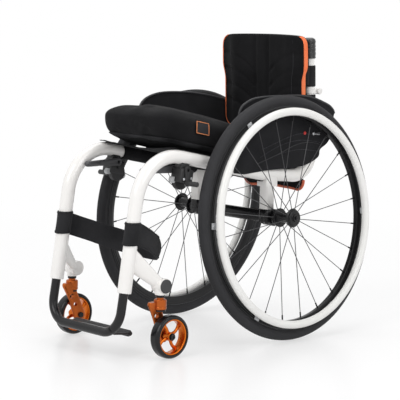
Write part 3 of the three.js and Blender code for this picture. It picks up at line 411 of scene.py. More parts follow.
def grain_group():
    """Fine random grain and slow patches, as in paint, rubber and moulded plastic."""
    group, start, end, place = new_group("grain", {"Fine Scale": 900.0, "Patch Scale": 9.0})
    for label, socket, detail in (("Fine Scale", "Height", 2.0), ("Patch Scale", "Patch", 4.0)):
        texture = add_node(group, "TexNoise", Detail=detail, Vector=place, Scale=start.outputs[label])
        group.links.new(texture.outputs["Fac"], end.inputs[socket])
    return group


def weave_group():
    """Threads over and under each other on all three axes."""
    group, start, end, place = new_group("weave", {"Threads": 2600.0, "Patch Scale": 14.0})
    split = add_node(group, "SeparateXYZ", Vector=place)
    waves = [math_node(group, "SINE", math_node(group, "MULTIPLY", split.outputs[axis], start.outputs["Threads"]))
             for axis in "XYZ"]
    first, second, third = (math_node(group, "MULTIPLY", waves[a], waves[b]) for a, b in ((0, 2), (1, 2), (0, 1)))
    total = math_node(group, "ADD", math_node(group, "ADD", first, second), third)
    height = math_node(group, "MULTIPLY", math_node(group, "ADD", total, 1.5), 0.33)
    texture = add_node(group, "TexNoise", Detail=5.0, Vector=place, Scale=start.outputs["Patch Scale"])
    fill(group, end, {"Height": height, "Patch": texture.outputs["Fac"]})
    return group


GRAIN = grain_group()
WEAVE = weave_group()


def material(name, slot, group, scales, low, high, rough, depth, strength, **shader):
    """A finish: a group's patches shift its colour and roughness, and its height makes the bump."""
    look = bpy.data.materials.new(name)
    look.use_nodes = True
    tree = look.node_tree
    pattern = add_node(tree, "Group", {"node_tree": group}, **scales)
    patch = pattern.outputs["Patch"]
    spread = add_node(tree, "MapRange", From_Min=0.3, From_Max=0.7, Value=patch)
    colours = add_node(tree, "Mix", {"data_type": "RGBA"}, A=(*low, 1), B=(*high, 1), Factor=spread.outputs["Result"])
    roughness = add_node(tree, "MapRange", To_Min=rough[0], To_Max=rough[1], Value=patch)
    bump = add_node(tree, "Bump", Strength=strength, Distance=depth, Height=pattern.outputs["Height"])
    fill(tree, tree.nodes["Principled BSDF"], {
        "Base Color": colours.outputs["Result"], "Roughness": roughness.outputs["Result"],
        "Normal": bump.outputs["Normal"], **shader})
    SLOTS[look.name] = slot
    return look


def grained(name, slot, fine, patch, low, high, rough, depth=0.0002, strength=0.25, **shader):
    return material(name, slot, GRAIN, {"Fine Scale": fine, "Patch Scale": patch}, low, high, rough, depth, strength,
                    **shader)


def paint(name, slot, low, high, rough, **shader):
    return grained(name, slot, 700.0, 7.0, low, high, rough, 0.00005, 0.12, **shader)


def cloth(name, slot, low, high, threads):
    return material(name, slot, WEAVE, {"Threads": threads, "Patch Scale": 16.0}, low, high, (0.86, 0.98), 0.0004,
                    0.5, Sheen_Weight=0.03, Sheen_Roughness=0.5, Specular_IOR_Level=0.12)


WHITE = paint("white_powder_coat", "white_paint", (0.86, 0.84, 0.815), (0.9, 0.885, 0.865), (0.2, 0.28),
              Coat_Weight=0.5, Coat_Roughness=0.08)
HANDRIM_WHITE = paint("handrim_coating", "white_paint", (0.83, 0.825, 0.8), (0.88, 0.875, 0.855), (0.32, 0.42),
                      Coat_Weight=0.2, Coat_Roughness=0.2)
BLACK = paint("black_satin_paint", "black_paint", (0.008, 0.008, 0.009), (0.014, 0.014, 0.015), (0.2, 0.3),
              Specular_IOR_Level=0.22, Coat_Weight=0.12, Coat_Roughness=0.06)
RIM_BLACK = paint("rim_anodising", "black_paint", (0.012, 0.012, 0.013), (0.02, 0.02, 0.021), (0.3, 0.42),
                  Metallic=0.6)
STEEL = paint("polished_steel", "steel", (0.62, 0.63, 0.65), (0.72, 0.73, 0.75), (0.18, 0.3), Metallic=1.0)
SPOKE_STEEL = paint("dark_spoke_steel", "black_paint", (0.05, 0.05, 0.052), (0.09, 0.09, 0.095), (0.3, 0.4),
                    Metallic=0.8)
TAB_GREY = paint("grey_tab_plastic", "steel", (0.42, 0.43, 0.44), (0.55, 0.56, 0.57), (0.35, 0.5))
ORANGE = paint("orange_anodising", "orange_anodised", (0.52, 0.105, 0.006), (0.68, 0.17, 0.012), (0.2, 0.32),
               Metallic=0.9, Coat_Weight=0.06, Coat_Roughness=0.1)
FORK_ORANGE = paint("copper_anodising", "orange_anodised", (0.4, 0.085, 0.014), (0.52, 0.13, 0.026), (0.26, 0.38),
                    Metallic=0.85)
LEVER_GREY = paint("lever_grey", "moulded_plastic", (0.05, 0.05, 0.053), (0.075, 0.075, 0.08), (0.35, 0.5))
RED = paint("red_plastic", "moulded_plastic", (0.55, 0.02, 0.015), (0.7, 0.04, 0.03), (0.3, 0.4))
TYRE = grained("tyre_rubber", "tyre", 1400.0, 12.0, (0.017, 0.017, 0.0185), (0.028, 0.028, 0.031), (0.62, 0.78),
               Specular_IOR_Level=0.3)
CASTOR_RUBBER = grained("castor_rubber", "castor_rubber", 600.0, 10.0, (0.006, 0.006, 0.007),
                        (0.012, 0.012, 0.013), (0.16, 0.28), 0.0001, 0.1, Specular_IOR_Level=0.28)
GRIP = grained("creased_grip", "castor_rubber", 120.0, 30.0, (0.008, 0.008, 0.009), (0.03, 0.03, 0.032), (0.2, 0.4),
               0.002, 0.6)
MOULDED = grained("moulded_black", "moulded_plastic", 1600.0, 10.0, (0.010, 0.010, 0.011), (0.016, 0.016, 0.017),
                  (0.42, 0.58))
CAP_GREY = grained("grey_cap_plastic", "dark_plastic", 1200.0, 20.0, (0.030, 0.031, 0.033), (0.042, 0.043, 0.045),
                   (0.5, 0.62))
GUARD_RIM = grained("guard_rolled_edge", "moulded_plastic", 1100.0, 14.0, (0.016, 0.016, 0.018),
                    (0.026, 0.026, 0.029), (0.55, 0.7))
FABRIC = cloth("black_stretch_fabric", "fabric", (0.0065, 0.0065, 0.0072), (0.0125, 0.0123, 0.0135), 3300.0)
MESH_FABRIC = cloth("open_mesh_fabric", "fabric", (0.006, 0.006, 0.007), (0.05, 0.05, 0.054), 1500.0)
GUARD_CLOTH = cloth("guard_covering", "moulded_plastic", (0.012, 0.012, 0.0135), (0.021, 0.021, 0.023), 4200.0)
WEBBING = cloth("black_webbing", "webbing", (0.018, 0.018, 0.0195), (0.032, 0.032, 0.0345), 2300.0)
PIPING = cloth("orange_piping", "fabric", (0.92, 0.2, 0.075), (0.98, 0.26, 0.11), 3000.0)
HEM_ORANGE = cloth("flap_hem_orange", "fabric", (0.66, 0.16, 0.09), (0.78, 0.22, 0.13), 3000.0)
LABEL_ORANGE = cloth("label_edge_orange", "fabric", (0.6, 0.2, 0.08), (0.75, 0.28, 0.12), 3000.0)
LABEL_CLOTH = cloth("label_cloth", "fabric", (0.018, 0.018, 0.020), (0.035, 0.035, 0.038), 2600.0)
THREAD = cloth("grey_thread", "fabric", (0.05, 0.05, 0.055), (0.09, 0.09, 0.1), 6000.0)


# Camera, at the photograph's viewing angle

def build_camera():
    azimuth, elevation, roll = (math.radians(angle) for angle in (46.12, 6.75, 1.28))
    focal, frame_width, sensor = 1504.47, 400, 36
    slide, lift, distance = -54.27, 67.12, 3608.76
    target = Vector((0, -200, 400))
    back = Vector((math.sin(azimuth) * math.cos(elevation), -math.cos(azimuth) * math.cos(elevation),
                   math.sin(elevation)))
    right = Vector((math.cos(azimuth), math.sin(azimuth), 0))
    up = back.cross(right)
    right, up = (right * math.cos(roll) + up * math.sin(roll), up * math.cos(roll) - right * math.sin(roll))
    place = target - right * slide - up * lift + back * distance
    data = bpy.data.cameras.new("camera")
    data.sensor_width = sensor
    data.lens = focal / frame_width * sensor
    data.clip_end = 60
    camera = new_object("camera", data)
    camera.matrix_world = Matrix.Translation(TO_ROW @ place) @ Matrix((right, up, back)).transposed().to_4x4()
    bpy.context.scene.camera = camera


# Side frames

def leg_point(z, x=FRAME_X):
    return Vector((x, LEG_END.y + (z - LEG_END.z) * LEG_LINE.y / LEG_LINE.z, z))


def seat_tube_z(y):
    """The height of the seat tube's middle line, which bends once on its way to the rear."""
    bend, rear = FRAME_CORNERS[2:4]
    if y < bend.y:
        return bend.z + SEAT_SLOPE * (y - bend.y)
    return bend.z + (rear.z - bend.z) * (y - bend.y) / (rear.y - bend.y)


def frame_tube(bm):
    points = bent(FRAME_CORNERS, FRAME_RADII, 22)
    rings = along(points, FRAME_TUBE)
    lip = 1.0
    depth = 24
    bore = [ring_matrix(LEG_END + LEG_LINE * rise, LEG_LINE, Vector((1, 0, 0)), radius, radius)
            for rise, radius in ((depth, LEG_BORE), (lip, LEG_BORE), (0, LEG_BORE + lip), (0, FRAME_TUBE - lip),
                                 (lip, FRAME_TUBE))]
    top = Vector((0, 0, 1))
    ends = [Matrix.Translation(-top * lip) @ rings[-1],
            rings[-1] @ Matrix.Diagonal((1 - lip / FRAME_TUBE, 1 - lip / FRAME_TUBE, 1, 1))]
    skin(bm, [*bore, *rings[1:-1], *ends], 48)


def frame_brace(bm):
    """The arm that runs from the leg back and down to the castor's bearing barrel."""
    start = leg_point(234)
    end = Vector(((HOUSING_INNER + HOUSING_OUTER) / 2, HOUSING_Y, HOUSING_Z))
    start_wide, start_tall, end_wide, end_tall = 10, 32, 12.4, 15
    rings = []
    stations = 16
    for step in range(stations + 1):
        share = step / stations
        tall = start_tall + (end_tall - start_tall) * share
        wide = start_wide + (end_wide - start_wide) * smoothstep(share, 0, 1)
        rings.append(ring_matrix(start.lerp(end, share), Vector((0, 1, 0)), Vector((1, 0, 0)), wide, tall))
    skin(bm, rings, 40, power=0.8)


def castor_barrel(bm):
    turned(bm, drum(0, HOUSING_OUTER - HOUSING_INNER, HOUSING_RADIUS), (HOUSING_INNER, HOUSING_Y, HOUSING_Z), 48, 1.6)
    low = HOUSING_Z - HOUSING_RADIUS - 2.5
    turned(bm, drum(0, 18, 12.6, 8.2), (SWIVEL.x, SWIVEL.y, low), 36, 1.0, "Z")


def build_side_frames():
    cap = [(0.3, 0), (0.3, 16), (3.2, 16), (4.3, 14.6), (4.3, 13.4), (3.7, 12.8), (3.9, 0)]
    for name, hand in SIDES:
        bm = bmesh.new()
        frame_tube(bm)
        frame_brace(bm)
        castor_barrel(bm)
        make("frame_tube_" + name, bm, WHITE, "frame", (f"side_frame_{name}",), hand)
        turned_piece("barrel_cap_" + name, CAP_GREY, cap, (HOUSING_OUTER, HOUSING_Y, HOUSING_Z), 48, 0.5, "X",
                     "frame", (f"castor_cap_{name}",), hand)


# Rear wheels

WHEEL_STEPS = 160
RIM_DEPTH = 22
WHEEL_PLACE = Matrix.Translation((WHEEL_HALF_TRACK, 0, WHEEL_HEIGHT)) @ Matrix.Rotation(-CAMBER, 4, "Y")


def wheel_piece(name, bm, finish, *facts, **more):
    """Makes a piece that was modelled about the wheel's own axis."""
    bmesh.ops.transform(bm, matrix=WHEEL_PLACE, verts=bm.verts)
    return make(name, bm, finish, *facts, **more)


def wheel_ring(name, finish, profile, steps, ease, closed, *facts, **more):
    bm = bmesh.new()
    lathe(bm, profile, steps, ease, closed)
    return wheel_piece(name, bm, finish, *facts, **more)


def tyre_profile():
    """A round section with fine tread grooves and feet on the bead."""
    centre = TYRE_RADIUS - TYRE_HALF
    half_foot = 9.5
    start = math.asin(half_foot / TYRE_HALF)
    steps = 60
    grooves = {24, 27, 30, 33, 36}
    points = [(half_foot, BEAD + 0.3)]
    for step in range(steps + 1):
        angle = start + (math.tau - 2 * start) * step / steps
        radius = TYRE_HALF
        if step in grooves:
            radius -= 0.7
        points.append((radius * math.sin(angle), centre - radius * math.cos(angle)))
    points.append((-half_foot, BEAD + 0.3))
    return points


def rim_profile():
    half, nose, depth = 10, 5.5, RIM_DEPTH
    return [(-half, BEAD), (-half, BEAD - 7), (-half + 1.2, BEAD - 8), (-half + 0.6, BEAD - 10.5),
            (-nose, BEAD - depth), (nose, BEAD - depth), (half - 0.6, BEAD - 10.5), (half - 1.2, BEAD - 8),
            (half, BEAD - 7), (half, BEAD)]


def spoke_ends(index):
    """A spoke's foot on its hub flange and its tip at the rim, in the wheel's own frame."""
    outer = index % 2 == 0
    foot = Vector((16 if outer else -26, 0, 20))
    tip = Vector((0, 0, BEAD - RIM_DEPTH - 0.3))
    turn = Matrix.Rotation(math.tau * (index + 0.5) / SPOKES, 3, "X")
    start = Matrix.Rotation(-QUARTER, 3, "X")
    return turn @ start @ foot, turn @ start @ tip


def hub_profile():
    return [(-30, 6.5), (-30, 13), (-27.6, 14), (-27.6, 22), (-26.8, 23), (-25.2, 23), (-24.4, 22), (-24.4, 14.5),
            (-14, 12), (4, 12), (14.4, 14.5), (14.4, 22), (15.2, 23), (16.8, 23), (17.6, 21.5), (18.5, 19),
            (23, 19), (24, 17.6), (24, 13), (23.2, 12.2), (23.2, 10.4), (24, 9.6), (24, 6.5)]


def handrim_tab(bm, index):
    """A bracket that joins the handrim to the rim, with its screw."""
    reach = HANDRIM_OFFSET - 8
    start = 10.3
    made = block(bm, (reach - 5, 15, 2.6), (start + (reach - 5) / 2, 0, HANDRIM_RING + 1.0), 1.1)
    made += block(bm, (3.0, 15, 13), (start + 1.5, 0, HANDRIM_RING + 5.5), 1.2)
    made += turned(bm, [(0, 0), (0, 3.2), (2.0, 3.2), (2.6, 2.4), (2.6, 1.3), (1.6, 1.3), (1.6, 0)],
                   (start + 3.0, 0, HANDRIM_RING + 7.5), 16)
    made = [vert for vert in once(made) if vert.is_valid]
    turn = Matrix.Rotation(math.tau * (index + 0.5) / HANDRIM_TABS, 3, "X")
    bmesh.ops.rotate(bm, verts=made, cent=(0, 0, 0), matrix=turn)


def build_rear_wheel(name, hand):
    body = "rear_wheel_" + name
    wheel_ring(f"tyre_{name}_rubber", TYRE, tyre_profile(), WHEEL_STEPS, 0, True, body, (f"tyre_{name}",), hand, 50)
    wheel_ring(f"rim_{name}_section", RIM_BLACK, rim_profile(), WHEEL_STEPS, 1.2, True, body, (f"rim_{name}",), hand)
    bm = bmesh.new()
    for side in (-1, 1):
        lathe(bm, [(side * 10.02, BEAD - 2.1), (side * 10.25, BEAD - 2.0), (side * 10.25, BEAD - 1.1),
                   (side * 10.02, BEAD - 1.0)], WHEEL_STEPS, closed=True)
    wheel_piece("rim_line_" + name, bm, SPOKE_STEEL, body, (), hand, slot="steel")

    wheel_ring(f"hub_{name}_shell", BLACK, hub_profile(), 64, 0.5, True, body, (f"spoked_hub_{name}",), hand)
    bm = bmesh.new()
    nipples = bmesh.new()
    for index in range(SPOKES):
        foot, tip = spoke_ends(index)
        line = (tip - foot).normalized()
        tube(bm, [foot, tip], 0.95, 8)
        tube(nipples, [tip - line * 13, tip - line * 9, tip + line * 0.2], 1.9, 10)
        tube(nipples, [foot - line * 2.5, foot + line * 1.5], 1.7, 8)
    wheel_piece("spokes_" + name, bm, SPOKE_STEEL, body, (f"spoked_hub_{name}",), hand)
    wheel_piece("nipples_" + name, nipples, BLACK, body, (), hand)

    section = [(HANDRIM_OFFSET + HANDRIM_TUBE * math.sin(a), HANDRIM_RING + HANDRIM_TUBE * math.cos(a))
               for a in (math.tau * i / 28 for i in range(28))]
    wheel_ring(f"handrim_{name}_tube", HANDRIM_WHITE, section, WHEEL_STEPS, 0, True, body, (f"handrim_{name}",), hand)
    bm = bmesh.new()
    for index in range(HANDRIM_TABS):
        handrim_tab(bm, index)
    wheel_piece("handrim_tabs_" + name, bm, TAB_GREY, body, (f"handrim_{name}",), hand)

    pin = [(-55, 0), (-55, 5), (-54, 6), (24.3, 6), (24.3, 9), (27.3, 9), (27.3, 4.5), (15, 4.5), (15, 0)]
    wheel_ring("axle_pin_" + name, BLACK, pin, 32, 0.4, False, "frame", (f"quick_release_{name}",), hand)
    button = [(22.1, 0), (22.1, 3.9), (30.6, 3.9), (31.3, 3.1), (31.3, 1.6), (30.8, 1.2), (30.8, 0)]
    wheel_ring("pin_button_" + name, BLACK, button, 24, 0.3, False, "release_button_" + name,
               (f"release_button_{name}",), hand, slot="steel")
    wheel_ring("hub_washer_" + name, STEEL, drum(-30.6, -33.2, 10.5, 6.4), 32, 0.4, True, body, (), hand)


# Castors

def castor_wheel_profile():
    """A deep dished rim: a thin barrel with a lip at each side."""
    return [(-12, 41.2), (-12, 38.6), (-10.6, 37.4), (-4, 36), (4, 36), (10.6, 37.4), (12, 38.6), (12, 41.2)]


def castor_tyre_profile():
    half, inner, radius = CASTOR_HALF, 41.3, 50
    return [(-half, inner), (-half, 44), (-half + 0.8, 46.4), (-half + 3, 48.6), (-half + 7, radius),
            (half - 7, radius), (half - 3, 48.6), (half - 0.8, 46.4), (half, 44), (half, inner)]


def castor_arms(bm):
    """Curved arms, set back in the rim, from the boss to the barrel."""
    count = 4
    for index in range(count):
        turn = Matrix.Rotation(math.tau * (index + 0.4) / count, 3, "X")
        rings = []
        for share in (0, 0.2, 0.4, 0.6, 0.8, 1):
            radius = 7 + 30 * share
            wide = 5.4 - 1.8 * math.sin(math.pi * share)
            bow = 4.5 * math.sin(math.pi * share)
            point = turn @ Vector((-2 - 2 * share, bow, radius))
            rings.append(ring_matrix(point, turn @ Vector((0, 0, 1)), Vector((1, 0, 0)), 3.2, wide))
        skin(bm, rings, 16, power=0.8)


FORK_FRONT = -406


def fork_arm(bm):
    """The plate beside the wheel, from the stem's block down to the axle, with a round foot."""
    top, foot, round_foot = 130, CASTOR_Z, 16.5
    rings = []
    steps = 26
    for step in range(steps + 1):
        share = step / steps
        z = top + (foot - round_foot + 0.4 - top) * share
        run = min(1.0, (top - z) / (top - foot))
        below = max(0.0, foot - z)
        half = 17.5 - 1.5 * math.sin(math.pi * run)
        if step == 0:
            half *= 0.86
        if below > 0:
            half = 17.5 * math.sqrt(max(0.02, 1 - (below / round_foot) ** 2))
        thick = 7.5 + (4.6 - 7.5) * min(1.0, run * 2.2)
        x = 153.5 + (150.6 - 153.5) * min(1.0, run * 1.6)
        y = FORK_FRONT + (CASTOR_Y - FORK_FRONT) * max(0.0, run * 1.12 - 0.12) ** 0.9
        rings.append(ring_matrix(Vector((x, y, z)), Vector((0, 0, -1)), Vector((1, 0, 0)), thick, half))
    skin(bm, rings, 28, power=0.62)


def drilled(piece, holes):
    """Cuts round holes along X and keeps the result as the piece's own mesh."""
    bm = bmesh.new()
    for (x, y, z), radius in holes:
        turned(bm, drum(0, 30, radius), (x - 15, y, z), 28)
    bmesh.ops.recalc_face_normals(bm, faces=bm.faces)
    bmesh.ops.transform(bm, matrix=TO_ROW, verts=bm.verts)
    drill = new_object("drill", to_mesh("drill", bm))
    cut = piece.modifiers.new("holes", "BOOLEAN")
    cut.object = drill
    cut.operation = "DIFFERENCE"
    cut.solver = "EXACT"
    shaped = bpy.data.meshes.new_from_object(piece.evaluated_get(bpy.context.evaluated_depsgraph_get()))
    piece.modifiers.remove(cut)
    piece.data = shaped
    bpy.data.objects.remove(drill)


def build_fork(name, hand):
    fork = "castor_fork_" + name
    stem = (SWIVEL.x, SWIVEL.y, 0)
    bm = bmesh.new()
    fork_arm(bm)
    arm = make(f"fork_arm_{name}", bm, FORK_ORANGE, fork, (fork,), hand, 50)
    drilled(arm, [((hand * 151, y, z), radius) for y, z, radius in ((-400, 98, 6.0), (-389.5, 78, 5.2))])
    fork_block = [(112, 0), (112, 12.5), (113.5, 14.4), (118, 14.4), (119, 13.6), (120, 14.4), (134, 14.4),
                  (136, 12.5), (136, 8.4), (140, 8.4), (140, 0)]
    turned_piece(f"fork_block_{name}", FORK_ORANGE, fork_block, stem, 48, 0.5, "Z", fork, (fork,), hand)
    turned_piece(f"fork_base_{name}", BLACK, drum(108.5, 111.9, 12.6), stem, 40, 0.4, "Z", fork, (fork,), hand)


def build_castor(name, hand):
    hub = Vector((CASTOR_X, CASTOR_Y, CASTOR_Z))
    fork, wheel = "castor_fork_" + name, "castor_wheel_" + name
    bm = bmesh.new()
    lathe(bm, castor_tyre_profile(), 96, ease=1.4, closed=True)
    bmesh.ops.translate(bm, vec=hub, verts=bm.verts)
    make("castor_tread_" + name, bm, CASTOR_RUBBER, wheel, (f"castor_tyre_{name}",), hand)
    bm = bmesh.new()
    lathe(bm, castor_wheel_profile(), 96, ease=0.8, closed=True)
    lathe(bm, [(-12, 4.3), (-12, 9.5), (-11, 10.5), (7, 10.5), (8, 9.5), (8, 4.3)], 40, ease=0.5, closed=True)
    castor_arms(bm)
    bmesh.ops.translate(bm, vec=hub, verts=bm.verts)
    make("castor_rim_" + name, bm, ORANGE, wheel, (f"castor_hub_{name}",), hand)
    turned_piece("bearing_shield_" + name, BLACK, drum(0, 0.7, 8.8, 4.4), (CASTOR_X + 7.8, CASTOR_Y, CASTOR_Z), 32,
                 0, "X", wheel, (), hand)
    build_fork(name, hand)
    start, end = 142.0, 181.3
    bolt = [(start, 0), (start, 6.6), (start + 3.4, 7), (start + 3.7, 7), (start + 3.7, 4), (end, 4), (end, 7),
            (end + 3.2, 6.6), (end + 4, 5.4), (end + 4, 2.7), (end + 2, 2.7), (end + 2, 0)]
    turned_piece("castor_bolt_" + name, BLACK, bolt, (0, CASTOR_Y, CASTOR_Z), 24, 0.4, "X", fork,
                 (f"castor_axle_{name}",), hand, slot="steel")
    turned_piece("stem_seal_" + name, CASTOR_RUBBER, drum(140.2, 145.4, 10.4, 8.1), (SWIVEL.x, SWIVEL.y, 0), 32,
                 0.4, "Z", fork, (), hand)


# Axle, stems and clamps

CLAMP_TOP = 311


def parted(piece, height, keep_upper):
    """Cuts a piece level and gives one side of it, closed."""
    bm = bmesh.new()
    bm.from_mesh(piece.data)
    cut = bmesh.ops.bisect_plane(bm, geom=bm.verts[:] + bm.edges[:] + bm.faces[:], plane_co=(0, 0, height * MM),
                                 plane_no=(0, 0, 1), clear_inner=keep_upper, clear_outer=not keep_upper)
    edges = [item for item in cut["geom_cut"] if isinstance(item, bmesh.types.BMEdge)]
    bmesh.ops.holes_fill(bm, edges=edges, sides=0)
    return to_mesh(piece.name, bm)


def build_stems():
    """White stems whose feet, the upper halves of the axle clamps, are black."""
    for name, _ in SIDES:
        node = f"axle_stem_{name}"
        stem = refined(node, WHITE, 1.2)
        foot = new_object("stem_foot_" + name, parted(stem, CLAMP_TOP, False))
        stem.data = parted(stem, CLAMP_TOP, True)
        stem.data.materials.append(WHITE)
        dress(foot, BLACK, "frame", (node,))


def build_axle():
    half = [(137.5, 15), (139, 17.4), (146, 17.4), (146, 7.6), (122, 7.6), (122, 0)]
    mirrored = [(-place, radius) for place, radius in reversed(half)]
    turned_piece("axle_cross_tube", BLACK, mirrored + half, (0, 0, AXLE_HEIGHT), 48, 0.6, "X", "frame", ("axle_tube",))
    screw = [(0, 0), (0, 3.6), (2.6, 3.6), (3.0, 3.0), (3.0, 1.6), (1.6, 1.6), (1.6, 0)]
    ring = drum(-0.8, 0.8, 18.4, 15.2)
    for name, hand in SIDES:
        refined(f"axle_clamp_{name}", BLACK, 0.7)
        bm = bmesh.new()
        for y in (-21, 21):
            for x in (-7.5, 7.5):
                turned(bm, screw, (FRAME_X + x, y, AXLE_HEIGHT + 10.9), 16, 0.2, "Z")
        make("stem_screws_" + name, bm, BLACK, hand=hand)
        turned_piece("axle_ring_" + name, STEEL, ring, (104, 0, AXLE_HEIGHT), 48, 0.3, "X", hand=hand)


# Footrest

def build_footrest():
    high = leg_point(LEG_END.z + 56 * LEG_LINE.z)
    corners = [high, FOOT_BAR.copy(), Vector((-FRAME_X, FOOT_BAR.y, FOOT_BAR.z)), Vector((-FRAME_X, high.y, high.z))]
    tube_piece("footrest_bow", BLACK, [bent(corners, (52, 52), 20)], FOOT_TUBE, 36, "footrest", ("footrest_tube",))

    # The plate slopes down to the rear and ends there in a rounded roll
    half, front, rear, rise, fall = 100, -478, -429, 57, 51
    bm = bmesh.new()
    tilt = math.atan2(fall - rise, rear - front)
    block(bm, (2 * half, (rear - front) / math.cos(tilt), 5), (0, (front + rear) / 2, (rise + fall) / 2), 1.6,
          Matrix.Rotation(tilt, 3, "X"))
    roll = [Vector((x, rear, fall + 0.4)) for x in (-half, -half + 6, -30, 30, half - 6, half)]
    radii = (5.0, 7.6, 7.6, 7.6, 7.6, 5.0)
    skin(bm, [ring_matrix(p, Vector((1, 0, 0)), Vector((0, 1, 0)), r * 1.2, r) for p, r in zip(roll, radii)], 24)
    for x in (-78, 78):
        block(bm, (18, 20, 9), (x, front - 1, rise - 0.5), 1.6)
    make("plate_top", bm, MOULDED, "footrest", ("footplate",))
    rows = [front + 6 + 5.5 * row for row in range(7)]
    lines = [[Vector((x, y, rise + (fall - rise) * (y - front) / (rear - front) + 2.6)) for x in (8 - half, half - 8)]
             for y in rows]
    tube_piece("plate_grip_lines", MOULDED, lines, 0.8, 8, "footrest", across=(0, 0, 1))


# Calf strap and cushion

STRAP_Z = 285
STRAP_HALF = 26
STRAP_RING = FRAME_TUBE + 2.2


def strap_line():
    """The calf strap's middle line from the left leg round to the right, with its upright direction."""
    centre = leg_point(STRAP_Z)
    stations = []
    turns = 40
    for step in range(turns + 1):
        angle = math.radians(60 + (378 - 60) * step / turns)
        out = Vector((math.cos(angle), math.sin(angle), 0))
        stations.append((centre + out * STRAP_RING, LEG_LINE.copy()))
    last = stations[-1][0]
    count = 60
    for step in range(1, count):
        x = last.x * math.cos(math.pi * step / count)
        share = 1 - (x / last.x) ** 2
        upright = LEG_LINE.lerp(Vector((0, 0, 1)), min(1, share * 3)).normalized()
        ripple = 1.6 * math.sin(share * 19) * share
        stations.append((Vector((x, last.y + 172 * share + ripple, STRAP_Z - 62 * share)), upright))
    mirrored = [(Vector((-point.x, point.y, point.z)), up) for point, up in reversed(stations[:turns + 1])]
    return stations + mirrored


def build_calf_strap():
    stations = strap_line()

    def place(u, v):
        position = u * (len(stations) - 1)
        low = min(int(position), len(stations) - 2)
        point = stations[low][0].lerp(stations[low + 1][0], position - low)
        up = stations[low][1].lerp(stations[low + 1][1], position - low)
        slack = smoothstep(point.y - leg_point(STRAP_Z).y, 30, 150)
        curl = -(1.2 + 10 * slack) * (2 * v - 1) ** 2
        rib = 0.5 * math.sin(u * 560) * slack
        return point + up * (2 * v - 1) * (STRAP_HALF + 1.5 * slack) + Vector((0, curl + rib, 0))
    sheet_piece("calf_webbing", WEBBING, place, 260, 14, 2.2, "frame", ("calf_strap",), sharp=60)
    edges = [[place(i / 220, v) for i in range(221)] for v in (0.07, 0.93)]
    tube_piece("strap_edges", WEBBING, edges, 1.45, 6, across=(0, 0, 1), sharp=80)


def rounded_block(bm, cuts, plan, edge):
    """A cube cut fine and blown to a block with round edges, squarer in plan, in units of its half sizes."""
    bmesh.ops.create_cube(bm, size=2)
    bmesh.ops.subdivide_edges(bm, edges=bm.edges[:], cuts=cuts, use_grid_fill=True)
    for vert in bm.verts:
        p = vert.co
        power = edge if p.z > 0 else max(edge, CUSHION_LOW_EDGE)
        level = (abs(p.x) ** plan + abs(p.y) ** plan) ** (power / plan)
        vert.co = p / (level + abs(p.z) ** power) ** (1 / power)


CUSHION_FRONT = -352
CUSHION_REAR = 56
CUSHION_HALF = 125
CUSHION_THICK = 95
CUSHION_PLAN = 7.0
CUSHION_EDGE = 2.9
CUSHION_LOW_EDGE = 3.6


def cushion_base(y):
    return seat_tube_z(y) + 19.9


def cushion_point(p):
    """Takes a point of the rounded unit block to the cushion's contoured form."""
    share = (p.y + 1) / 2
    y = CUSHION_FRONT + (CUSHION_REAR - CUSHION_FRONT) * share
    x = p.x * CUSHION_HALF
    z = cushion_base(y) + (p.z + 1) * CUSHION_THICK / 2
    upper = max(0.0, p.z)
    edge = abs(p.x)
    nose = 4 * math.exp(-((share - 0.06) / 0.12) ** 2)
    dip = 2 * math.exp(-((share - 0.2) / 0.07) ** 2) * edge ** 2
    trough = 9 * math.exp(-((edge - 0.5) / 0.28) ** 2) * smoothstep(share, 0.05, 0.4)
    pommel = 5 * math.exp(-(p.x / 0.16) ** 2) * (1 - share)
    z += upper * (nose - dip - trough + pommel)
    near_front = max(0.0, 1 - share * 5)
    tuck = near_front * (6 * max(0.0, -p.z - 0.1) - 6 * max(0.0, 0.7 - abs(p.z - 0.3)))
    return Vector((x, y + tuck, z))


def cushion_skin(height, angle, proud):
    """A place on the cushion's side at a height from -1 to 1 and an angle round it, in turns."""
    c, s = math.cos(math.tau * angle), math.sin(math.tau * angle)
    power = CUSHION_EDGE if height > 0 else CUSHION_LOW_EDGE
    reach = (1 - abs(height) ** power) ** (1 / power) / (
        abs(c) ** CUSHION_PLAN + abs(s) ** CUSHION_PLAN) ** (1 / CUSHION_PLAN)
    return cushion_point(Vector((c * reach * proud, s * reach * proud, height)))


def fabric_folds(point, depth, scale):
    """Slow folds in a stretched cover."""
    return depth * noise.noise(point * scale)


def puff(piece, reach, pressure=4.0):
    """Blows a closed cover up like a filled cushion, no further than reach, and keeps the result."""
    scene = bpy.context.scene
    rest = [vert.co.copy() for vert in piece.data.vertices]
    bpy.context.view_layer.objects.active = piece
    swell = piece.modifiers.new("swell", "CLOTH")
    swell.settings.quality = 5
    swell.settings.use_pressure = True
    swell.settings.uniform_pressure_force = pressure
    swell.settings.effector_weights.gravity = 0
    swell.settings.tension_stiffness = 30
    swell.settings.compression_stiffness = 30
    swell.settings.bending_stiffness = 2
    swell.point_cache.frame_start = 1
    swell.point_cache.frame_end = 20
    for step in range(1, 21):
        scene.frame_set(step)
    shaped = piece.evaluated_get(bpy.context.evaluated_depsgraph_get()).to_mesh()
    moved = [vert.co.copy() for vert in shaped.vertices]
    piece.evaluated_get(bpy.context.evaluated_depsgraph_get()).to_mesh_clear()
    piece.modifiers.remove(swell)
    for vert, before, after in zip(piece.data.vertices, rest, moved):
        step = after - before
        if step.length > reach:
            step = step.normalized() * reach
        vert.co = before + step
    scene.frame_set(1)


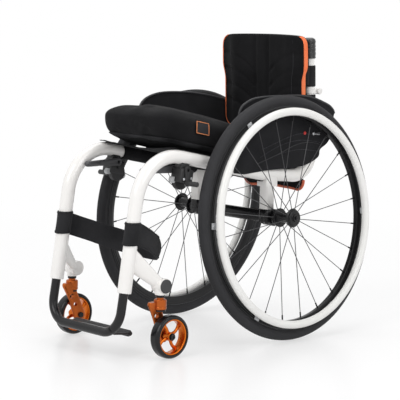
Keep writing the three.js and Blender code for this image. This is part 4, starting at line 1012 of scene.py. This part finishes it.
def side_frame(height, angle):
    """A place on the cushion's side, and the outward direction there."""
    here = cushion_skin(height, angle, 1.0)
    below = cushion_skin(height - 0.02, angle, 1.0)
    beside = cushion_skin(height, angle + 0.002, 1.0)
    out = (below - here).cross(beside - here).normalized()
    if out.dot(Vector((here.x, here.y - (CUSHION_FRONT + CUSHION_REAR) / 2, 0))) < 0:
        out = -out
    return here, out


def label_point(u, v, proud):
    """A place on the bare label of the cushion's left side, from its two shares."""
    low, high = -0.08, 0.46
    front, rear = -0.0805, -0.0555
    place, out = side_frame(low + (high - low) * v, front + (rear - front) * u)
    return place + out * proud


def build_cushion():
    bm = bmesh.new()
    rounded_block(bm, 46, CUSHION_PLAN, CUSHION_EDGE)
    for vert in bm.verts:
        place = cushion_point(vert.co)
        vert.co = place + Vector((0, 0, fabric_folds(place, 1.1, 0.02)))
    cover = make("cushion_cover", bm, FABRIC, "frame", ("seat_cushion",), sharp=180)
    puff(cover, 0.003)
    smooth = cover.modifiers.new("round", "SUBSURF")
    smooth.levels = smooth.render_levels = 1

    steps = 240
    seams = [[cushion_skin(height, i / steps, 1.012) for i in range(steps + 1)] for height in (-0.63, -0.86)]
    tube_piece("cushion_seams", FABRIC, seams, 0.9, 8, sharp=80)
    sheet_piece("cushion_mesh_band", MESH_FABRIC, lambda u, v: cushion_skin(-0.64 - 0.2 * v, u, 1.018), 260, 6, 0.8,
                sharp=80)
    corners = ((0, 0), (1, 0), (1, 1), (0, 1), (0, 0))
    edge = [label_point(a + (c - a) * part / 6, b + (d - b) * part / 6, 3.4)
            for (a, b), (c, d) in zip(corners, corners[1:]) for part in range(6)]
    tube_piece("label_edge", LABEL_ORANGE, [[*edge, edge[0]]], 0.9, 8, sharp=80)
    sheet_piece("label_patch", LABEL_CLOTH, lambda u, v: label_point(u, v, 3.2), 10, 10, 0.8, sharp=60)


# Backrest

PAD_LOW = 498
PAD_HIGH = 729
PAD_HALF_LOW = 132
PAD_HALF_HIGH = 140
PAD_THICK = 41
PAD_POWER = 13.0


def cane_y(z):
    return PIVOT_Y - (z - PIVOT_Z) * math.tan(LEAN)


def pad_point(p):
    """Takes a point of the unit block to the pad: dished between the canes, thin at its side edges."""
    share = (p.z + 1) / 2
    z = PAD_LOW + (PAD_HIGH - PAD_LOW) * share
    half = PAD_HALF_LOW + (PAD_HALF_HIGH - PAD_HALF_LOW) * smoothstep(z, 618, 660)
    x = p.x * half
    middle = cane_y(z) - CANE_TUBE - 8.5 - PAD_THICK / 2
    dish = 14 * (1 - p.x ** 2)
    y = middle + p.y * PAD_THICK / 2 * 0.96 + dish
    y += 19 * max(0.0, -p.y) * smoothstep(abs(p.x), 0.62, 1.0)
    crown = 4 * (1 - p.x ** 2) * smoothstep(share, 0.5, 1)
    corner = (3 if p.x > 0 else 10) * smoothstep(abs(p.x), 0.82, 1.02) * smoothstep(share, 0.86, 1)
    return Vector((x, y, z + crown - corner))


def pad_skin(angle, height):
    """The unit block's side at an angle from +X and a height."""
    ring = (1 - abs(height) ** PAD_POWER) ** (1 / PAD_POWER)
    c, s = math.cos(angle), math.sin(angle)
    length = (abs(c) ** PAD_POWER + abs(s) ** PAD_POWER) ** (1 / PAD_POWER)
    return Vector((c / length * ring, s / length * ring, height))


def pad_grooves(p):
    """Depth of the sewn channels at a place of the pad's front."""
    spine = 0.16
    lines = [abs(abs(p.x) - spine) / 0.035]
    if abs(p.x) > spine:
        across = (abs(p.x) - spine) / (1 - spine)
        for level in (0.62, 0.28, -0.06, -0.4):
            bow = level - 0.42 * (1 - across) ** 2.2
            lines.append(abs(p.z - bow) / 0.045)
    return max(math.exp(-line ** 2) for line in lines)


def build_back_pad():
    bm = bmesh.new()
    rounded_block(bm, 70, PAD_POWER, PAD_POWER)
    for vert in bm.verts:
        p = vert.co.copy()
        place = pad_point(p)
        if p.y < -0.3:
            place.y += (3.6 if p.x < 0.3 else 1.0) * pad_grooves(p) - 0.8 + fabric_folds(place, 0.8, 0.03)
        vert.co = place
    cover = make("back_cover", bm, FABRIC, "backrest", ("back_upholstery",), sharp=180)

    # Orange edging over the pad's side edges, sewn in a little at its middle
    bm = bmesh.new()
    for hand in (1, -1):
        def edging(u, v):
            height = -0.985 + 1.97 * u
            pinch = 1 - 0.25 * math.exp(-((height - 0.2) / 0.08) ** 2)
            angle = math.radians(-40 + (26 + 40) * v) * pinch
            place = pad_point(pad_skin(angle, height))
            return place + Vector((1.0 + 0.8 * math.sin(math.pi * v), 0, 0))
        strip = bmesh.new()
        sheet_strip(strip, 80, 10, edging)
        thicken(strip, 1.4)
        if hand < 0:
            bmesh.ops.scale(strip, vec=(-1, 1, 1), verts=strip.verts)
        mesh = to_mesh("strip", strip)
        bm.from_mesh(mesh)
        bpy.data.meshes.remove(mesh)
    make("back_edging", bm, PIPING, "backrest", sharp=80)
    rows = 46
    stitches = []
    for edge in (-1, 1):
        for step in range(rows):
            height = -0.9 + 1.8 * step / rows
            ends = [pad_point(pad_skin(math.radians(-52), height + rise)) for rise in (0, 0.022)]
            stitches.append([Vector((edge * end.x, end.y - 0.3, end.z)) for end in ends])
    tube_piece("back_stitches", THREAD, stitches, 0.45, 6, "backrest", sharp=80)


def cane_point(x, z):
    return Vector((x, cane_y(z), z))


def cane_sleeve(bm, low, high, proud, sides=32):
    """Webbing or a clamp round the cane from one height to another."""
    tube(bm, [cane_point(CANE_X, z) for z in (low, low + 1, (low + high) / 2, high - 1, high)], CANE_TUBE + proud,
         sides)


def build_canes():
    bar_z = 594
    bar_y = cane_y(bar_z) + 27
    for name, hand in SIDES:
        bm = bmesh.new()
        tube(bm, [cane_point(CANE_X, z) for z in (474, 500, 560, 620, 680, CANE_TOP)], CANE_TUBE, 36)
        cane_sleeve(bm, bar_z - 6, bar_z + 6, 1.6)
        block(bm, (13, 24, 12), (CANE_X, bar_y - 13, bar_z), 2.0)
        make("cane_tube_" + name, bm, WHITE, "backrest", (f"back_cane_{name}",), hand)
        bm = bmesh.new()
        rings = []
        steps = 40
        low, high, dome = 675, 726, 7
        for step in range(steps + 1):
            z = low + (high - low) * step / steps
            swell = CANE_TUBE + 2.6 + 0.55 * math.sin(step * 1.3) * math.sin(step * 0.47 + 1)
            if z > high - dome:
                swell *= math.sqrt(max(0.25, 1 - ((z - high + dome) / dome) ** 2 * 0.8))
            if step == 0:
                swell -= 1.2
            rings.append(ring_matrix(cane_point(CANE_X, z), cane_point(0, 1) - cane_point(0, 0),
                                     Vector((1, 0, 0)), swell, swell))
        skin(bm, rings, 40)
        for vert in bm.verts:
            crease = noise.noise(vert.co * 0.16) + 0.5 * noise.noise(vert.co * 0.35)
            out = Vector((vert.co.x - CANE_X, vert.co.y - cane_y(vert.co.z), 0))
            vert.co += out * 0.05 * crease
        make("cane_grip_" + name, bm, GRIP, "backrest", (f"cane_cap_{name}",), hand)
        bm = bmesh.new()
        for low, high in ((606, 658), (540, 586)):
            cane_sleeve(bm, low, high, 2.3)
            middle = (low + high) / 2
            block(bm, (26, 9, high - low - 8), (CANE_X, cane_y(middle) - CANE_TUBE - 5, middle), 1.0)
        make("cane_loop_" + name, bm, WEBBING, "backrest", ("back_upholstery",), hand)
        refined(f"back_hinge_{name}", BLACK, 0.6)
    turned_piece("back_bar", WHITE, drum(-131, 131, 7.8), (0, bar_y, bar_z), 36, 2.5, "X", "backrest",
                 ("back_crossbar",))


# Seat sling, rear flap, side guards and wheel locks

SLING_FRONT = -338
SLING_REAR = 70
SLING_SAG = 8
SLING_RADIUS = FRAME_TUBE + 1.4
SLEEVE_FRONT = -278


def build_sling():
    reach = FRAME_X + SLING_RADIUS * math.cos(math.radians(70))

    def panel(u, v):
        y = SLING_FRONT + (SLING_REAR - SLING_FRONT) * v
        x = reach * (2 * u - 1)
        inner = max(0.0, 1 - (x / FRAME_X) ** 2)
        over = math.sqrt(SLING_RADIUS ** 2 - max(0.0, abs(x) - FRAME_X) ** 2)
        ripple = 0.9 + 0.9 * math.sin(y * 0.21) + noise.noise(Vector((0, y * 0.06, x)))
        ruffle = smoothstep(abs(x), FRAME_X - 4, reach) * ripple
        return Vector((x, y, seat_tube_z(y) + over - SLING_SAG * inner + ruffle))
    top = sheet_piece("sling_panel", FABRIC, panel, 90, 150, 1.3, "frame", ("seat_sling",), sharp=60)
    for name, hand in SIDES:
        def sleeve(u, v):
            y = SLEEVE_FRONT + (SLING_REAR - 4 - SLEEVE_FRONT) * v
            angle = math.radians(80 + (282 - 80) * u)
            radius = SLING_RADIUS - 0.2 + 0.5 * noise.noise(Vector((u * 6, y * 0.03, 0)))
            return Vector((FRAME_X + radius * math.cos(angle), y, seat_tube_z(y) + radius * math.sin(angle)))
        sheet_piece("sling_sleeve_" + name, FABRIC, sleeve, 40, 120, 1.0, hand=hand, sharp=60)


FLAP_TOP = 490
FLAP_HALF = 98
FLAP_SPREAD = 8
FLAP_CORNER = 80


def flap_hem(x):
    """The height of the flap's lower edge, which turns up in round corners."""
    if abs(x) < FLAP_CORNER:
        return 350 - 5 * (x / FLAP_CORNER) ** 2
    share = min(1.0, (abs(x) - FLAP_CORNER) / (FLAP_HALF + FLAP_SPREAD - FLAP_CORNER))
    return 345 + 26 * (1 - math.sqrt(max(0.0, 1 - share ** 2)))


def flap_point(u, v):
    half = FLAP_HALF + FLAP_SPREAD * smoothstep(v, 0.55, 1)
    x = half * (2 * u - 1)
    z = FLAP_TOP + (flap_hem(x) - FLAP_TOP) * v
    y = 127.5 + 9 * v ** 1.5
    fold = 2.6 * v * math.sin(u * 17) + 1.2 * v * noise.noise(Vector((x * 0.05, 0, z * 0.02)))
    return Vector((x, y + fold, z))


def build_flap():
    body = frame["nodes"]["back_flap"]["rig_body"]
    cloth_piece = sheet_piece("flap_cloth", FABRIC, flap_point, 120, 70, 1.8, body, ("back_flap",), sharp=60)
    steps = 160
    edge = [flap_point(i / steps, 1.0) for i in range(steps + 1)]
    hem = tube_piece("flap_hem", HEM_ORANGE, [edge], 3.6, 12, body, across=(0, 1, 0), sharp=80)


GUARD_X = 138.4
GUARD_THICK = 2.6
GUARD_REAR = [(0.672, 0.76), (0.668, 0.66), (0.61, 0.58), (0.525, 0.53), (0.5, 0.465), (0.36, 0.41), (0.2, 0.39),
              (-0.1, 0.385), (-0.38, 0.365)]
GUARD_CRESTS = {
    "left": [(-0.5, 0.38), (-0.47, 0.6), (-0.462, 0.8), (-0.44, 0.89), (-0.38, 0.938), (-0.26, 0.975), (0, 0.987),
             (0.34, 0.98), (0.58, 0.915), (0.665, 0.868), (0.69, 0.83)],
    "right": [(-0.546, 0.38), (-0.62, 0.6), (-0.675, 0.8), (-0.675, 0.88), (-0.6, 0.94), (-0.45, 0.976), (-0.22, 0.978),
              (0.0, 0.96), (0.22, 0.925), (0.45, 0.875), (0.62, 0.82), (0.668, 0.79)],
}


def smooth_line(points, steps):
    """A smooth line through points."""
    line = []
    for index in range(len(points) - 1):
        a, b = points[max(index - 1, 0)], points[index]
        c, d = points[index + 1], points[min(index + 2, len(points) - 1)]
        for step in range(steps):
            t = step / steps
            line.append(0.5 * (2 * b + (c - a) * t + (2 * a - 5 * b + 4 * c - d) * t * t
                               + (3 * b - a - 3 * c + d) * t ** 3))
    line.append(points[-1])
    return line


def guard_place(share):
    return Vector((GUARD_X, share[0] * TYRE_RADIUS, WHEEL_HEIGHT + share[1] * TYRE_RADIUS))


def stitch_row(bm, points, spacing, radius):
    """Short stitches along a line."""
    line = smooth_line(points, 12)
    carry = 0.0
    for before, after in zip(line, line[1:]):
        run = after - before
        while carry < run.length:
            start = before + run.normalized() * carry
            tube(bm, [start, start + run.normalized() * spacing * 0.55], radius, 6)
            carry += spacing
        carry -= run.length


def build_guards():
    for name, hand in SIDES:
        crest = smooth_line([guard_place(share) for share in GUARD_CRESTS[name]], 8)
        low = smooth_line([guard_place(share) for share in GUARD_REAR], 5)
        bm = bmesh.new()
        outline = [bm.verts.new(point - Vector((GUARD_THICK / 2, 0, 0))) for point in crest + low]
        bmesh.ops.contextual_create(bm, geom=outline)
        grown = bmesh.ops.extrude_face_region(bm, geom=bm.faces[:])["geom"]
        moved = [item for item in grown if isinstance(item, bmesh.types.BMVert)]
        bmesh.ops.translate(bm, vec=(GUARD_THICK, 0, 0), verts=moved)
        ease_edges(bm, [edge for edge in bm.edges if edge.is_manifold and edge.calc_face_angle() > 1.2], 0.8, 2)
        make("guard_panel_" + name, bm, GUARD_CLOTH, "frame", (f"sideguard_{name}",), hand, 30)
        tube_piece("guard_rim_" + name, GUARD_RIM, [crest[4:]], 2.9, 14, hand=hand, sharp=80)

        bm = bmesh.new()
        face = GUARD_X + GUARD_THICK / 2 + 0.1
        for places, spacing in (
                (((-54, 458), (27, 482), (81, 492), (150, 485)), 6.5),
                (((-20, 439), (30, 449), (80, 453), (140, 447)), 6.5),
                (((-60, 440), (10, 466), (80, 476), (152, 468)), 5.0)):
            stitch_row(bm, [Vector((face, y, z)) for y, z in places], spacing, 0.7)
        make("guard_stitches_" + name, bm, THREAD, hand=hand, sharp=80)
        seam = [Vector((face, y, z)) for y, z in ((-70, 425), (0, 444), (60, 464), (110, 470), (158, 462))]
        tube_piece("guard_seam_" + name, GUARD_RIM, [smooth_line(seam, 10)], 1.1, 8, hand=hand, sharp=80)
        turned_piece("guard_dot_" + name, RED, [(0, 0), (0, 4.2), (1.2, 4.2), (1.8, 3.4), (1.8, 0)], (face, 95, 493),
                     28, 0.3, "X", hand=hand)
        bm = bmesh.new()
        tube(bm, [Vector((face + 2, y, z)) for y, z in ((124, 491), (126, 491), (146, 489), (148, 489))], 2.6, 16)
        turned(bm, [(0, 0), (0, 4.4), (2.6, 4.4), (3.2, 3.6), (3.2, 0)], (face, 126, 491), 24, 0.3)
        make("guard_bolt_" + name, bm, STEEL, hand=hand)


LOCK_Y = -298


def build_locks():
    y, z = LOCK_Y, seat_tube_z(LOCK_Y)
    slope = Matrix.Rotation(math.atan(SEAT_SLOPE), 3, "X")
    for name, hand in SIDES:
        bm = bmesh.new()
        block(bm, (34, 40, 32), (FRAME_X, y, z - 42), 3.0, slope)
        block(bm, (22, 26, 18), (FRAME_X, y, z - 21), 2.0, slope)
        for low, high in ((-20.5, -17), (17, 20.5)):
            turned(bm, drum(low, high, 6.2), (FRAME_X, y + 4, z - 40), 28, 0.5)
        turned(bm, drum(-16, -3, 21), (FRAME_X, y + 2, z - 54), 48, 1.4)
        make("lock_housing_" + name, bm, MOULDED, "frame", (f"lock_body_{name}",), hand)
        bm = bmesh.new()
        for dy, dz, radius in ((-24, -50, 7.5), (20, -62, 8.5)):
            turned(bm, drum(-12, -2, radius), (FRAME_X, y + dy, z + dz), 32, 1.2)
        make("lock_rollers_" + name, bm, TAB_GREY, hand=hand)
        bm = bmesh.new()
        for dy in (-11, 12):
            turned(bm, [(17.1, 0), (17.1, 3.4), (19.2, 3.4), (19.8, 2.8), (19.8, 1.5), (18.8, 1.5), (18.8, 0)],
                   (FRAME_X, y + dy, z - 48), 16, 0.2)
        make("lock_screws_" + name, bm, STEEL, hand=hand)
        refined(f"lock_lever_{name}", LEVER_GREY, 1.6)
        refined(f"lock_shoe_{name}", MOULDED, 1.6)


# Floor and light

WHITE_LIGHT = (1, 1, 1, 1)


def camera_rays(tree):
    """One for what the camera sees, in person, in a reflection or through a piece."""
    path = add_node(tree, "LightPath").outputs
    rays = math_node(tree, "MAXIMUM", path["Is Camera Ray"], path["Is Glossy Ray"])
    return math_node(tree, "MAXIMUM", rays, path["Is Transmission Ray"])


def show_mix(tree, output, share, first, second):
    """Sends two shaders to the output, the second by a share."""
    mix = add_node(tree, "MixShader", Fac=share)
    tree.links.new(first.outputs[0], mix.inputs[1])
    tree.links.new(second.outputs[0], mix.inputs[2])
    tree.links.new(mix.outputs[0], tree.nodes[output].inputs["Surface"])


def build_floor():
    bm = bmesh.new()
    bmesh.ops.create_grid(bm, x_segments=1, y_segments=1, size=14)
    floor = new_object("floor", to_mesh("floor", bm))
    floor.location.z = -0.0005
    look = bpy.data.materials.new("studio_floor")
    look.use_nodes = True
    tree = look.node_tree
    surface = fill(tree, tree.nodes["Principled BSDF"], {
        "Base Color": (0.93, 0.93, 0.935, 1), "Roughness": 0.28, "Specular IOR Level": 0.35})
    white = add_node(tree, "Emission", Color=WHITE_LIGHT, Strength=1.0)
    away = add_node(tree, "VectorMath", {"operation": "LENGTH"})
    tree.links.new(add_node(tree, "TexCoord").outputs["Object"], away.inputs[0])
    fade = add_node(tree, "MapRange", {"interpolation_type": "SMOOTHSTEP"}, From_Min=0.35, From_Max=2.6,
                    To_Min=0.55, To_Max=1.0, Value=away.outputs["Value"])
    share = math_node(tree, "MULTIPLY", camera_rays(tree), fade.outputs["Result"])
    show_mix(tree, "Material Output", share, surface, white)
    floor.data.materials.append(look)


def build_light():
    world = bpy.data.worlds.new("studio")
    bpy.context.scene.world = world
    world.use_nodes = True
    tree = world.node_tree
    light = fill(tree, tree.nodes["Background"], {"Color": WHITE_LIGHT, "Strength": 0.55})
    seen = add_node(tree, "Background", Color=WHITE_LIGHT, Strength=1.0)
    show_mix(tree, "World Output", camera_rays(tree), light, seen)

    for name, place, aim, size, power in (
            ("key", (0.3, -3.2, 2.8), (0, -0.1, 0.4), 2.2, 55),
            ("side", (3.0, 0.2, 2.2), (0, 0, 0.4), 2.0, 30),
            ("top", (-0.6, 0.6, 3.4), (0, 0, 0.2), 2.6, 42)):
        data = bpy.data.lights.new(name, "AREA")
        data.size = size
        data.energy = power
        lamp = new_object(name, data)
        lamp.location = place
        lamp.rotation_mode = "QUATERNION"
        lamp.rotation_quaternion = (Vector(aim) - Vector(place)).to_track_quat("-Z", "Y")


build_camera()
build_side_frames()
for side_name, side_hand in SIDES:
    build_rear_wheel(side_name, side_hand)
for side_name, side_hand in SIDES:
    build_castor(side_name, side_hand)
build_stems()
build_axle()
build_footrest()
build_calf_strap()
build_cushion()
build_back_pad()
build_canes()
build_sling()
build_flap()
build_guards()
build_locks()
build_floor()
build_light()
bpy.context.scene.view_settings.view_transform = "Standard"
